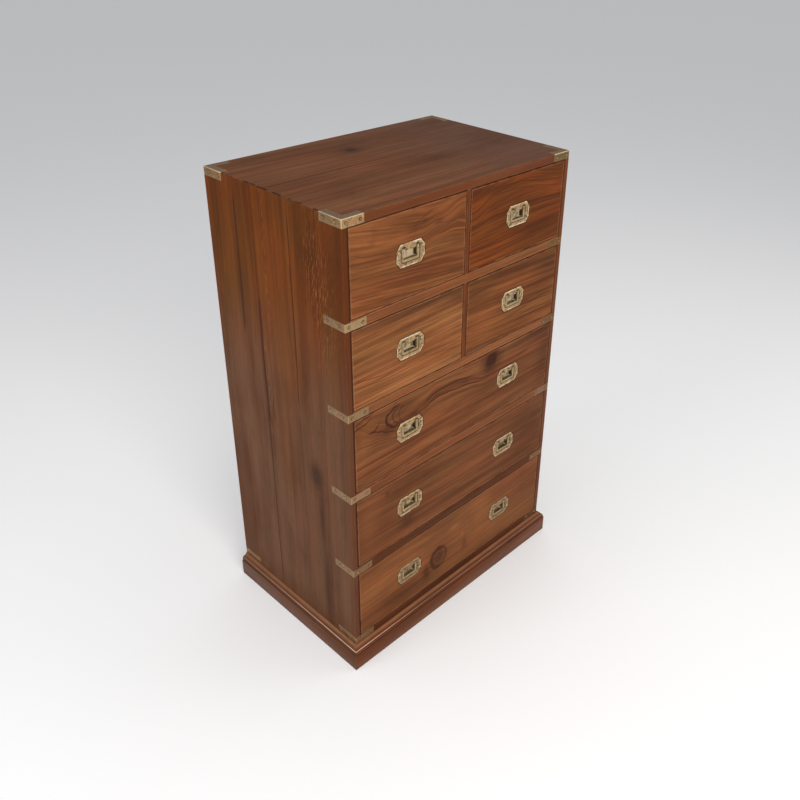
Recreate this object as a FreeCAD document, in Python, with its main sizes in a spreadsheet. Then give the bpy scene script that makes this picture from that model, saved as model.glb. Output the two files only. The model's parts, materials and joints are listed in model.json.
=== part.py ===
import FreeCAD, Part
import math
import os
import re
import Sketcher

# Campaign chest on a moulded plinth: two rows of two small drawers over three long ones,
# flush brass handles with a swinging bail, and brass straps let in at the corners.
# Millimetres. X runs to the right, Y to the back and Z up, from the floor under the middle.

doc = FreeCAD.newDocument("campaign_chest")

# ---------------------------------------------------------------- driving sizes

sizes = {
    # case
    "carcass_width": 745,
    "carcass_depth": 485,
    "side_thickness": 15,
    "top_thickness": 20,
    "bottom_thickness": 20,
    "rail_height": 23,
    "rail_depth": 60,
    "top_row_height": 206.5,
    "row_height": 202.5,
    "lowest_row_height": 207,
    "divider_width": 12,
    "back_thickness": 12,
    "back_rebate": 9,
    "back_tongue": 4,
    "housing_depth": 6,
    "housing_height": 12,
    "housing_set_back": 16,
    "tenon_depth": 30,
    "runner_width": 32,
    "centre_runner_width": 64,
    "stop_height": 5,
    "stop_depth": 18,
    "stop_length": 44,
    # plinth
    "plinth_height": 67,
    "plinth_overhang": 18,
    "plinth_shelf": 8,
    "plinth_back_thickness": 20,
    "top_fillet_width": 2.5,
    "top_fillet_drop": 1.5,
    "cove_width": 7.5,
    "cove_drop": 5,
    "cove_radius": 9,
    "bead_width": 6,
    "bead_drop": 9,
    "bead_radius": 8,
    "quirk_depth": 1.5,
    "quirk_height": 3.5,
    "bearer_width": 40,
    "bearer_height": 20,
    "glue_block_leg": 34,
    # brass straps and corner brackets
    "brass_thickness": 2,
    "rail_above_strap": 3,
    "strap_front_arm": 60,
    "strap_side_arm": 70,
    "bracket_arm_width": 20,
    "brass_corner_radius": 1.2,
    # drawers
    "drawer_side_gap": 1.2,
    "drawer_top_gap": 1.5,
    "drawer_bottom_gap": 1,
    "runner_clearance": 0.3,
    "front_set_back": 0.5,
    "stop_clearance": 0.3,
    "front_thickness": 22,
    "drawer_back_gap": 32.5,
    "drawer_side_thickness": 10,
    "drawer_back_thickness": 10,
    "drawer_side_drop": 4,
    "drawer_back_drop": 6,
    "drawer_bottom_thickness": 7,
    "drawer_bottom_raise": 9,
    "drawer_groove": 5,
    "dovetail_lap": 6,
    "dovetail_margin": 6,
    "dovetail_flare": 3,
    "dovetail_width": 27,
    "dovetail_pitch": 43,
    # flush handles
    "plate_width": 86,
    "plate_height": 54,
    "plate_thickness": 2.5,
    "plate_shoulder": 62,
    "plate_ear_width": 4,
    "plate_ear_height": 31,
    "plate_end_height": 22,
    "plate_ear_radius": 6,
    "plate_end_radius": 45,
    "recess_width": 57,
    "recess_drop": 18,
    "recess_rise": 21,
    "recess_depth": 5,
    "recess_corner": 5,
    "tab_width": 26,
    "tab_drop": 11,
    "pocket_width": 40,
    "pocket_drop": 12.5,
    "pocket_depth": 13,
    "pocket_corner": 4,
    "handle_wall": 2,
    "let_in_clearance": 0.2,
    "bail_side_gap": 2.2,
    "bail_end_gap": 1.7,
    "bail_bar": 6,
    "bail_thickness": 3.6,
    "bail_corner": 4.5,
    "bail_set_back": 0.4,
    "pivot_below_lobe": 7,
    "pin_radius": 1.2,
    "pin_clearance": 0.05,
    "pin_hold": 1.8,
}

# Planes and openings that follow from the driving sizes.
places = {
    "front_face": "(plinth_overhang - carcass_depth) / 2",
    "back_face": "(plinth_overhang + carcass_depth) / 2",
    "left_face": "-carcass_width / 2",
    "inner_width": "carcass_width - 2 * side_thickness",
    "back_front": "back_face - back_thickness",
    "board_depth": "carcass_depth - back_thickness",
    "row_pitch": "row_height + rail_height",
    "lower_long_floor": "plinth_height + bottom_thickness",
    "middle_long_floor": "lower_long_floor + lowest_row_height + rail_height",
    "upper_long_floor": "middle_long_floor + row_pitch",
    "second_floor": "upper_long_floor + row_pitch",
    "top_floor": "second_floor + row_pitch",
    "top_under": "top_floor + top_row_height",
    "overall_height": "top_under + top_thickness",
    "strap_height": "rail_height - rail_above_strap",
    "handle_x": "divider_width / 2 + (inner_width - divider_width) / 4",
    "drawer_face": "front_face + front_set_back",
    "front_inner": "drawer_face + front_thickness",
    "drawer_end": "back_front - drawer_back_gap",
    "drawer_back_face": "drawer_end - drawer_back_thickness",
    "bail_width": "recess_width - 2 * bail_side_gap",
    "bail_drop": "recess_drop - bail_end_gap",
    "pivot_height": "recess_rise - pivot_below_lobe",
    "pivot_depth": "bail_set_back + bail_thickness / 2",
}

# Where the drawers of a row stand, and what is above them.
floors = {"top": "top_floor", "second": "second_floor", "upper_long": "upper_long_floor",
          "middle_long": "middle_long_floor", "lower_long": "lower_long_floor"}
ceilings = {"top": "top_under", "second": "top_floor - rail_height",
            "upper_long": "second_floor - rail_height",
            "middle_long": "upper_long_floor - rail_height",
            "lower_long": "middle_long_floor - rail_height"}

# Each rail lies under a row; the lowest row stands on the bottom board instead. The straps are
# level with the lower edges of the rails.
rails = {"rail_4": "middle_long", "rail_3": "upper_long", "rail_2": "second", "rail_1": "top"}
rail_levels = {rail: f"{floors[row]} - rail_height" for rail, row in rails.items()}
strap_bands = [("plinth_height", "bottom_thickness")]
strap_bands += [(level, "strap_height") for level in rail_levels.values()]


def make_sheet(name, cells):
    """One row for each value: its name in column A and the value, with its alias, in column B."""
    sheet = doc.addObject("Spreadsheet::Sheet", name)
    for row, (alias, content) in enumerate(cells.items(), start=1):
        sheet.set(f"A{row}", alias)
        sheet.set(f"B{row}", content)
        sheet.setAlias(f"B{row}", alias)
    return sheet


def linked(formula):
    """The formula with every named value pointing at its sheet."""
    def with_sheet(match):
        word = match.group(0)
        if word in sizes:
            return f"Sizes.{word}"
        if word in places:
            return f"Places.{word}"
        return word
    return re.sub(r"[a-z_]+[a-z_0-9]*", with_sheet, str(formula))


make_sheet("Sizes", {name: str(value) for name, value in sizes.items()})
make_sheet("Places", {name: "=" + linked(formula) for name, formula in places.items()})
doc.recompute()


def number(formula):
    """What a formula comes to with the present sizes."""
    return float(doc.Places.evalExpression(linked(formula)))


def tie(item, **formulas):
    """Bind properties of an object to formulas of the named values."""
    for prop, formula in formulas.items():
        item.setExpression(prop, linked(formula))
    return item


def place(item, x=0, y=0, z=0):
    """Bind an object's position."""
    for axis, formula in (("x", x), ("y", y), ("z", z)):
        item.setExpression(f"Placement.Base.{axis}", linked(formula))
    return item


# ---------------------------------------------------------------- building blocks

def box(name, x, y, z, length, depth, height):
    """A board with its low corner at x, y, z."""
    board = doc.addObject("Part::Box", name)
    tie(board, Length=length, Width=depth, Height=height)
    return place(board, x, y, z)


def rod(name, x, y, z, radius, length):
    """A round bar along X from x."""
    bar = doc.addObject("Part::Cylinder", name)
    bar.Placement.Rotation = FreeCAD.Rotation(FreeCAD.Vector(0, 1, 0), 90)
    tie(bar, Radius=radius, Height=length)
    return place(bar, x, y, z)


def joined(name, pieces):
    """One solid from several that touch or overlap."""
    whole = doc.addObject("Part::MultiFuse", name)
    whole.Shapes = pieces
    whole.Refine = True
    return whole


def grouped(name, pieces):
    """Separate solids kept under one name."""
    group = doc.addObject("Part::Compound", name)
    group.Links = pieces
    return group


def cut(name, base, tools):
    """The base with the tools taken out of it."""
    rest = doc.addObject("Part::Cut", name)
    rest.Base = base
    rest.Tool = tools[0] if len(tools) == 1 else joined(name + "_waste", tools)
    rest.Refine = True
    return rest


def mirrored(name, source, normal=(1, 0, 0), base_y=0):
    """The source seen in a mirror plane through the middle of the chest."""
    twin = doc.addObject("Part::Mirroring", name)
    twin.Source = source
    twin.Normal = FreeCAD.Vector(*normal)
    twin.setExpression("Base.y", linked(base_y))
    return twin


def moved(name, source, x, y, z):
    """A copy of the source that stands at x, y, z."""
    return place(grouped(name, [source]), x, y, z)


def arc_middle(start, end, radius):
    """The middle of a short arc; a positive radius bulges to the right of the way it runs."""
    chord = end - start
    half = chord.Length / 2
    rise = abs(radius) - math.sqrt(max(radius * radius - half * half, 0))
    right = FreeCAD.Vector(chord.y, -chord.x, 0).normalize()
    return (start + end) / 2 + right * math.copysign(rise, radius)


def draw(sketch, corners):
    """Close an outline through the corners (u, v) or (u, v, radius of the arc that leads there)."""
    points = [FreeCAD.Vector(number(corner[0]), number(corner[1]), 0) for corner in corners]
    begins = []
    for index, start in enumerate(points):
        following = (index + 1) % len(points)
        end = points[following]
        if len(corners[following]) == 2:
            sketch.addGeometry(Part.LineSegment(start, end))
            begins.append(1)
            continue
        radius = number(corners[following][2])
        middle = arc_middle(start, end, radius)
        ends = (start, end) if radius > 0 else (end, start)
        sketch.addGeometry(Part.Arc(ends[0], middle, ends[1]))
        begins.append(1 if radius > 0 else 2)
    for index, corner in enumerate(corners):
        before = (index - 1) % len(corners)
        sketch.addConstraint(Sketcher.Constraint(
            "Coincident", before, 3 - begins[before], index, begins[index]))
        for kind, formula in (("DistanceX", corner[0]), ("DistanceY", corner[1])):
            place_rule = Sketcher.Constraint(kind, -1, 1, index, begins[index], number(formula))
            rule = sketch.addConstraint(place_rule)
            sketch.setExpression(f"Constraints[{rule}]", linked(formula))
        if len(corner) == 3:
            size_rule = Sketcher.Constraint("Radius", before, abs(number(corner[2])))
            rule = sketch.addConstraint(size_rule)
            sketch.setExpression(f"Constraints[{rule}]", linked(f"abs({corner[2]})"))


def slab(name, plane, corners, thickness):
    """A body with one outline, drawn on XY, XZ or YZ, and padded towards +Z, +Y or +X."""
    body = doc.addObject("PartDesign::Body", name)
    sketch = body.newObject("Sketcher::SketchObject", name + "_outline")
    support = [item for item in body.Origin.OriginFeatures if item.Role == plane + "_Plane"]
    sketch.AttachmentSupport = (support[0], [""])
    sketch.MapMode = "FlatFace"
    draw(sketch, corners)
    pad = body.newObject("PartDesign::Pad", name + "_pad")
    pad.Profile = sketch
    pad.Reversed = plane == "XZ"
    tie(pad, Length=thickness)
    body.Tip = pad
    return body


nodes = []


def node(name, item):
    """Name a finished sub-part; the name is its file's name too."""
    item.Label = name
    nodes.append(item)
    return item


# ---------------------------------------------------------------- brass on the corners

def corner_angle(name, height):
    """An upright angle of brass round a corner at the origin, its outer edge eased."""
    return slab(name, "XY", [
        ("brass_corner_radius", 0, "brass_corner_radius"),
        ("strap_front_arm", 0),
        ("strap_front_arm", "brass_thickness"),
        ("brass_thickness", "brass_thickness"),
        ("brass_thickness", "strap_side_arm"),
        (0, "strap_side_arm"),
        (0, "brass_corner_radius"),
    ], height)


def bracket_cap(name):
    """The flat angle that covers a corner of the top."""
    return slab(name, "XY", [
        ("brass_corner_radius", 0, "brass_corner_radius"),
        ("strap_front_arm", 0),
        ("strap_front_arm", "bracket_arm_width"),
        ("bracket_arm_width", "bracket_arm_width"),
        ("bracket_arm_width", "strap_side_arm"),
        (0, "strap_side_arm"),
        (0, "brass_corner_radius"),
    ], "brass_thickness")


def arm_housings(name, level, height):
    """Square housings in the wood for the two upright arms at the left front corner."""
    front_arm = box(name + "_front", "left_face", "front_face", level,
                    "strap_front_arm", "brass_thickness", height)
    side_arm = box(name + "_side", "left_face", "front_face", level,
                   "brass_thickness", "strap_side_arm", height)
    return joined(name, [front_arm, side_arm])


middle_y = "front_face + carcass_depth / 2"

strap_shapes = {height: corner_angle(f"strap_over_{height}", height)
                for height in ("bottom_thickness", "strap_height")}
left_straps = [moved(f"left_strap_{count}", strap_shapes[height], "left_face", "front_face", level)
               for count, (level, height) in enumerate(strap_bands, start=1)]
right_straps = [mirrored(f"right_strap_{count}", strap)
                for count, strap in enumerate(left_straps, start=1)]
back_left_strap = mirrored("back_left_strap", left_straps[0], (0, 1, 0), middle_y)
back_right_strap = mirrored("back_right_strap", back_left_strap)
node("corner_straps", grouped("straps", left_straps + right_straps + [
    back_left_strap, back_right_strap]))

bracket_arms = place(corner_angle("bracket_arms", "top_thickness"), "left_face", "front_face", "top_under")
bracket_top = place(bracket_cap("bracket_top"),
                    "left_face", "front_face", "overall_height - brass_thickness")
front_left_bracket = joined("front_left_bracket", [bracket_arms, bracket_top])
front_right_bracket = mirrored("front_right_bracket", front_left_bracket)
back_left_bracket = mirrored("back_left_bracket", front_left_bracket, (0, 1, 0), middle_y)
back_right_bracket = mirrored("back_right_bracket", back_left_bracket)
node("corner_brackets", grouped("brackets", [
    front_left_bracket, front_right_bracket, back_left_bracket, back_right_bracket]))

strap_housings = [arm_housings(f"strap_housing_{count}", level, height)
                  for count, (level, height) in enumerate(strap_bands, start=1)]
twin_housings = [mirrored(f"strap_housing_{count}_right", housing)
                 for count, housing in enumerate(strap_housings, start=1)]
back_left_strap_housing = mirrored("back_left_strap_housing", strap_housings[0],
                                   (0, 1, 0), middle_y)
back_right_strap_housing = mirrored("back_right_strap_housing", back_left_strap_housing)

bracket_arm_housing = arm_housings("bracket_arm_housing", "top_under", "top_thickness")
cap_housing_front = box("cap_housing_front", "left_face", "front_face",
                        "overall_height - brass_thickness",
                        "strap_front_arm", "bracket_arm_width", "brass_thickness")
cap_housing_side = box("cap_housing_side", "left_face", "front_face",
                       "overall_height - brass_thickness",
                       "bracket_arm_width", "strap_side_arm", "brass_thickness")
front_left_housing = joined("front_left_housing", [
    bracket_arm_housing, cap_housing_front, cap_housing_side])
back_left_housing = mirrored("back_left_housing", front_left_housing, (0, 1, 0), middle_y)
left_bracket_housings = [front_left_housing, back_left_housing]
right_bracket_housings = [mirrored(f"bracket_housing_right_{count}", housing)
                          for count, housing in enumerate(left_bracket_housings, start=1)]

# ---------------------------------------------------------------- case

# Top and sides meet in a mitre from the outer edge to the inner corner.
top_blank = place(slab("top_blank", "XZ", [
    ("left_face + side_thickness", "top_under"),
    ("-left_face - side_thickness", "top_under"),
    ("-left_face", "overall_height"),
    ("left_face", "overall_height"),
], "carcass_depth"), y="front_face")
node("top_board", cut("top", top_blank, left_bracket_housings + right_bracket_housings))

side_blank = place(slab("side_blank", "XZ", [
    ("left_face", "plinth_height"),
    ("left_face + side_thickness", "plinth_height"),
    ("left_face + side_thickness", "top_under"),
    ("left_face", "overall_height"),
], "carcass_depth"), y="front_face")

housing_lift = "(rail_height - housing_height) / 2"
tenons = {}
for rail, level in rail_levels.items():
    tenons[rail] = box(f"{rail}_tenons",
                       "left_face + side_thickness - housing_depth",
                       "front_face + housing_set_back", f"{level} + {housing_lift}",
                       "inner_width + 2 * housing_depth", "tenon_depth", "housing_height")
bottom_tongues = box("bottom_tongues",
                     "left_face + side_thickness - housing_depth",
                     "front_face + housing_set_back",
                     "plinth_height + (bottom_thickness - housing_height) / 2",
                     "inner_width + 2 * housing_depth",
                     "board_depth - housing_set_back", "housing_height")
rebate = box("rebate", "left_face + back_rebate", "back_front", "plinth_height",
             "side_thickness - back_rebate", "back_thickness", "top_under - plinth_height")
left_side = cut("left_side_board", side_blank,
                list(tenons.values()) + [bottom_tongues, rebate]
                + strap_housings + [back_left_strap_housing] + left_bracket_housings)
node("left_side", left_side)
node("right_side", mirrored("right_side_board", left_side))

bottom_blank = box("bottom_blank", "left_face + side_thickness", "front_face", "plinth_height",
                   "inner_width", "board_depth", "bottom_thickness")
node("bottom_board", cut("bottom", joined("bottom_with_tongues", [bottom_blank, bottom_tongues]),
                         [strap_housings[0], twin_housings[0]]))

rail_housings = dict(zip(rail_levels, zip(strap_housings[1:], twin_housings[1:])))
for rail, level in rail_levels.items():
    rail_blank = box(f"{rail}_blank", "left_face + side_thickness", "front_face", level,
                     "inner_width", "rail_depth", "rail_height")
    node(rail, cut(f"{rail}_board", joined(f"{rail}_with_tenons", [rail_blank, tenons[rail]]),
                   list(rail_housings[rail])))

for name, row in (("upper_divider", "top"), ("lower_divider", "second")):
    node(name, box(name + "_board", "-divider_width / 2", "front_face", floors[row],
                   "divider_width", "board_depth", f"{ceilings[row]} - {floors[row]}"))

side_runners = []
for rail, level in rail_levels.items():
    runner = box(f"left_runner_at_{rail}", "left_face + side_thickness", "front_face + rail_depth",
                 level, "runner_width", "board_depth - rail_depth", "rail_height")
    side_runners += [runner, mirrored(f"right_runner_at_{rail}", runner)]
node("side_runners", grouped("runners", side_runners))
node("centre_runners", grouped("wide_runners", [
    box(f"centre_runner_at_{rail}", "-centre_runner_width / 2", "front_face + rail_depth",
        rail_levels[rail], "centre_runner_width", "board_depth - rail_depth", "rail_height")
    for rail in ("rail_1", "rail_2")]))

drawer_stops = []
for row, floor in floors.items():
    stop = box(f"{row}_left_stop", "-handle_x - stop_length / 2", "front_inner + stop_clearance",
               floor, "stop_length", "stop_depth", "stop_height")
    drawer_stops += [stop, mirrored(f"{row}_right_stop", stop)]
node("drawer_stops", grouped("stops", drawer_stops))

# Upright boards, tongued together, close the back; the straps are let into the outer two.
back_board_count = 5
outer_board_housings = {0: back_left_strap_housing, back_board_count - 1: back_right_strap_housing}
board_width = f"(inner_width + 2 * (side_thickness - back_rebate)) / {back_board_count}"
tongue_y = "back_front + (back_thickness - back_tongue) / 2"
back_boards = []
tongue = None
for index in range(back_board_count):
    board_x = f"left_face + back_rebate + {index} * {board_width}"
    board = box(f"back_board_{index + 1}", board_x, "back_front", "plinth_height",
                board_width, "back_thickness", "top_under - plinth_height")
    if tongue:
        board = cut(f"grooved_board_{index + 1}", board, [tongue])
    if index < back_board_count - 1:
        tongue = box(f"tongue_{index + 1}", f"{board_x} + {board_width}", tongue_y, "plinth_height",
                     "back_tongue", "back_tongue", "top_under - plinth_height")
        board = joined(f"tongued_board_{index + 1}", [board, tongue])
    if index in outer_board_housings:
        board = cut(f"let_in_board_{index + 1}", board, [outer_board_housings[index]])
    back_boards.append(board)
node("back_boards", grouped("back", back_boards))

# ---------------------------------------------------------------- plinth

# The moulding, out from the case: a flat, a cove, a bead and a quirk over the plain face.
cove_end = "top_fillet_width + cove_width"
bead_end = f"{cove_end} + bead_width"
cove_low = "plinth_height - top_fillet_drop - cove_drop"
bead_low = f"{cove_low} - bead_drop"
plinth_profile = [
    ("plinth_shelf", 0),
    ("plinth_shelf", "plinth_height"),
    ("-top_fillet_width", "plinth_height"),
    ("-top_fillet_width", "plinth_height - top_fillet_drop"),
    (f"-({cove_end})", cove_low, "-cove_radius"),
    (f"-({bead_end})", bead_low, "bead_radius"),
    (f"-({bead_end}) + quirk_depth", bead_low),
    (f"-({bead_end}) + quirk_depth", f"{bead_low} - quirk_height"),
    ("-plinth_overhang", f"{bead_low} - quirk_height"),
    ("-plinth_overhang", 0),
]
mitre_reach = "plinth_overhang + 1"
shelf_reach = "plinth_shelf + 1"
left_waste = place(slab("left_mitre_waste", "XY", [
    (f"-({mitre_reach})", f"-({mitre_reach})"),
    (shelf_reach, f"-({mitre_reach})"),
    (shelf_reach, shelf_reach),
], "plinth_height"), "left_face", "front_face")
front_waste = place(slab("front_mitre_waste", "XY", [
    (f"-({mitre_reach})", f"-({mitre_reach})"),
    (shelf_reach, shelf_reach),
    (f"-({mitre_reach})", shelf_reach),
], "plinth_height"), "left_face", "front_face")
front_blank = place(slab("plinth_front_blank", "YZ", plinth_profile,
                         "carcass_width + 2 * plinth_overhang"),
                    "left_face - plinth_overhang", "front_face")
node("plinth_front", cut("front_plinth", front_blank,
                         [front_waste, mirrored("front_mitre_waste_right", front_waste)]))
left_blank = place(slab("plinth_left_blank", "XZ", plinth_profile,
                        "carcass_depth + plinth_overhang"),
                   "left_face", "front_face - plinth_overhang")
plinth_left = cut("left_plinth", left_blank, [left_waste])
node("plinth_left", plinth_left)
node("plinth_right", mirrored("right_plinth", plinth_left))
node("plinth_back", box("back_plinth", "left_face + plinth_shelf", "back_face - plinth_back_thickness",
                        0, "carcass_width - 2 * plinth_shelf", "plinth_back_thickness", "plinth_height"))

# Bearers along the sides carry the case; glue blocks stiffen the corners below them.
bearer = box("left_bearer", "left_face + plinth_shelf", "front_face + plinth_shelf",
             "plinth_height - bearer_height", "bearer_width",
             "carcass_depth - plinth_shelf - plinth_back_thickness", "bearer_height")
front_block = place(slab("front_left_block", "XY", [
    (0, 0),
    ("glue_block_leg", 0),
    (0, "glue_block_leg"),
], "plinth_height - bearer_height"), "left_face + plinth_shelf", "front_face + plinth_shelf")
back_block = place(slab("back_left_block", "XY", [
    (0, 0),
    (0, "-glue_block_leg"),
    ("glue_block_leg", 0),
], "plinth_height - bearer_height"), "left_face + plinth_shelf", "back_face - plinth_back_thickness")
left_blocks = [bearer, front_block, back_block]
node("plinth_blocks", grouped("blocks", left_blocks + [
    mirrored(f"right_block_{count}", block) for count, block in enumerate(left_blocks, start=1)]))

# ---------------------------------------------------------------- flush handle

# Drawn about the middle of the plate, with its face at y = 0 and the wood behind it.


def plate_outline(grow):
    """The plate from the front, grown on every side: long edges, splayed shoulders, hollow ends."""
    across = f"(plate_width / 2 + {grow})"
    up = f"(plate_height / 2 + {grow})"
    shoulder = "(plate_shoulder / 2)"
    ear = f"({across} - plate_ear_width)"
    ear_up = "(plate_ear_height / 2)"
    end_up = "(plate_end_height / 2)"
    right_half = [
        (shoulder, f"-{up}"),
        (ear, f"-{ear_up}"),
        (across, f"-{end_up}", "plate_ear_radius"),
        (across, end_up, "-plate_end_radius"),
        (ear, ear_up, "plate_ear_radius"),
        (shoulder, up),
    ]
    left_half = [
        (f"-{shoulder}", up),
        (f"-{ear}", ear_up),
        (f"-{across}", end_up, "plate_ear_radius"),
        (f"-{across}", f"-{end_up}", "-plate_end_radius"),
        (f"-{ear}", f"-{ear_up}", "plate_ear_radius"),
        (f"-{shoulder}", f"-{up}"),
    ]
    return right_half + left_half


def rounded_outline(half_width, low, high, radius):
    """A rectangle with round corners, even about x = 0."""
    return [
        (f"-({half_width}) + {radius}", low, radius),
        (f"{half_width} - {radius}", low),
        (half_width, f"{low} + {radius}", radius),
        (half_width, f"{high} - {radius}"),
        (f"{half_width} - {radius}", high, radius),
        (f"-({half_width}) + {radius}", high),
        (f"-({half_width})", f"{high} - {radius}", radius),
        (f"-({half_width})", f"{low} + {radius}"),
    ]


def recess_outline():
    """The bail's recess: a tray with two round-topped lobes and a tab between them."""
    side = "(recess_width / 2)"
    tab = "(tab_width / 2)"
    lobe_radius = f"(({side} - {tab}) / 2)"
    lobe_x = f"({side} - {lobe_radius})"
    lobe_z = f"(recess_rise - {lobe_radius})"
    return [
        (f"-{side} + recess_corner", "-recess_drop", "recess_corner"),
        (f"{side} - recess_corner", "-recess_drop"),
        (side, "-recess_drop + recess_corner", "recess_corner"),
        (side, lobe_z),
        (lobe_x, "recess_rise", lobe_radius),
        (tab, lobe_z, lobe_radius),
        (tab, "tab_drop"),
        (f"-{tab}", "tab_drop"),
        (f"-{tab}", lobe_z),
        (f"-{lobe_x}", "recess_rise", lobe_radius),
        (f"-{side}", lobe_z, lobe_radius),
        (f"-{side}", "-recess_drop + recess_corner"),
    ]


def casting(name, grow):
    """The plate with the two trays behind it, all solid, grown on every side."""
    wall = f"(handle_wall + {grow})"
    plate = slab(name + "_plate", "XZ", plate_outline(grow), "plate_thickness")
    tray = slab(name + "_tray", "XZ",
                rounded_outline(f"(recess_width / 2 + {wall})", f"(-recess_drop - {wall})",
                                f"(recess_rise + {wall})", f"(recess_corner + {wall})"),
                f"recess_depth + {wall}")
    cup = slab(name + "_cup", "XZ",
               rounded_outline(f"(pocket_width / 2 + {wall})", f"(-pocket_drop - {wall})",
                               f"(tab_drop + {wall})", f"(pocket_corner + {wall})"),
               f"pocket_depth + {wall}")
    return joined(name, [plate, tray, cup])


recess = slab("handle_recess", "XZ", recess_outline(), "recess_depth")
pocket = slab("finger_pocket", "XZ",
              rounded_outline("(pocket_width / 2)", "(-pocket_drop)", "tab_drop", "pocket_corner"),
              "pocket_depth")
pin_inner = "(tab_width / 2 - pin_hold)"
pin_outer = "(recess_width / 2 + pin_hold)"
bore = rod("right_pin_bore", f"{pin_inner} - pin_clearance", "pivot_depth", "pivot_height",
           "pin_radius + pin_clearance", f"{pin_outer} - {pin_inner} + 2 * pin_clearance")
handle_plate = cut("handle_plate", casting("handle_casting", "0"),
                   [recess, pocket, bore, mirrored("left_pin_bore", bore)])
handle_cavity = casting("handle_cavity", "let_in_clearance")

# The bail: a flat bar bent to a square U, with round knuckles and a pin through each.
bail_inner = "(bail_width / 2 - bail_bar)"
bail_bow = place(slab("bail_bow", "XZ", [
    ("-bail_width / 2 + bail_corner", "-bail_drop", "bail_corner"),
    ("bail_width / 2 - bail_corner", "-bail_drop"),
    ("bail_width / 2", "-bail_drop + bail_corner", "bail_corner"),
    ("bail_width / 2", "pivot_height"),
    (bail_inner, "pivot_height"),
    (bail_inner, "-bail_drop + bail_bar"),
    (f"-{bail_inner}", "-bail_drop + bail_bar"),
    (f"-{bail_inner}", "pivot_height"),
    ("-bail_width / 2", "pivot_height"),
    ("-bail_width / 2", "-bail_drop + bail_corner"),
], "bail_thickness"), y="bail_set_back")
knuckle = rod("right_knuckle", bail_inner, "pivot_depth", "pivot_height",
              "bail_thickness / 2", "bail_bar")
pin = rod("right_pin", pin_inner, "pivot_depth", "pivot_height",
          "pin_radius", f"{pin_outer} - {pin_inner}")
bail = joined("bail", [bail_bow, knuckle, mirrored("left_knuckle", knuckle),
                       pin, mirrored("left_pin", pin)])

# ---------------------------------------------------------------- drawers

small_width = "((inner_width - divider_width) / 2)"
left_opening = ("left_face + side_thickness", small_width, [("", "-handle_x")])
right_opening = ("divider_width / 2", small_width, [("", "handle_x")])
full_opening = ("left_face + side_thickness", "inner_width",
                [("left_", "-handle_x"), ("right_", "handle_x")])
drawers = [
    ("top_left", "top", left_opening),
    ("top_right", "top", right_opening),
    ("second_left", "second", left_opening),
    ("second_right", "second", right_opening),
    ("upper_long", "upper_long", full_opening),
    ("middle_long", "middle_long", full_opening),
    ("lower_long", "lower_long", full_opening),
]


def tails(name, x, tip_y, root_y, low, high):
    """A row of dovetails through a drawer side's thickness, wide at the tip."""
    count = max(2, round((number(high) - number(low)) / number("dovetail_pitch")))
    near_tip = number(tip_y) < number(root_y)
    half = "(dovetail_width / 2)"
    wide, narrow = half, f"({half} - dovetail_flare)"
    first, last = (wide, narrow) if near_tip else (narrow, wide)
    row = []
    for index in range(count):
        tail = doc.addObject("Part::Wedge", f"{name}_{index + 1}")
        centre = f"({low} + ({high} - {low}) * {(index + 0.5) / count})"
        tie(tail, Xmin=x, Xmax=f"{x} + drawer_side_thickness",
            X2min=x, X2max=f"{x} + drawer_side_thickness",
            Ymin=tip_y if near_tip else root_y, Ymax=root_y if near_tip else tip_y,
            Zmin=f"{centre} - {first}", Zmax=f"{centre} + {first}",
            Z2min=f"{centre} - {last}", Z2max=f"{centre} + {last}")
        row.append(tail)
    return row


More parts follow.
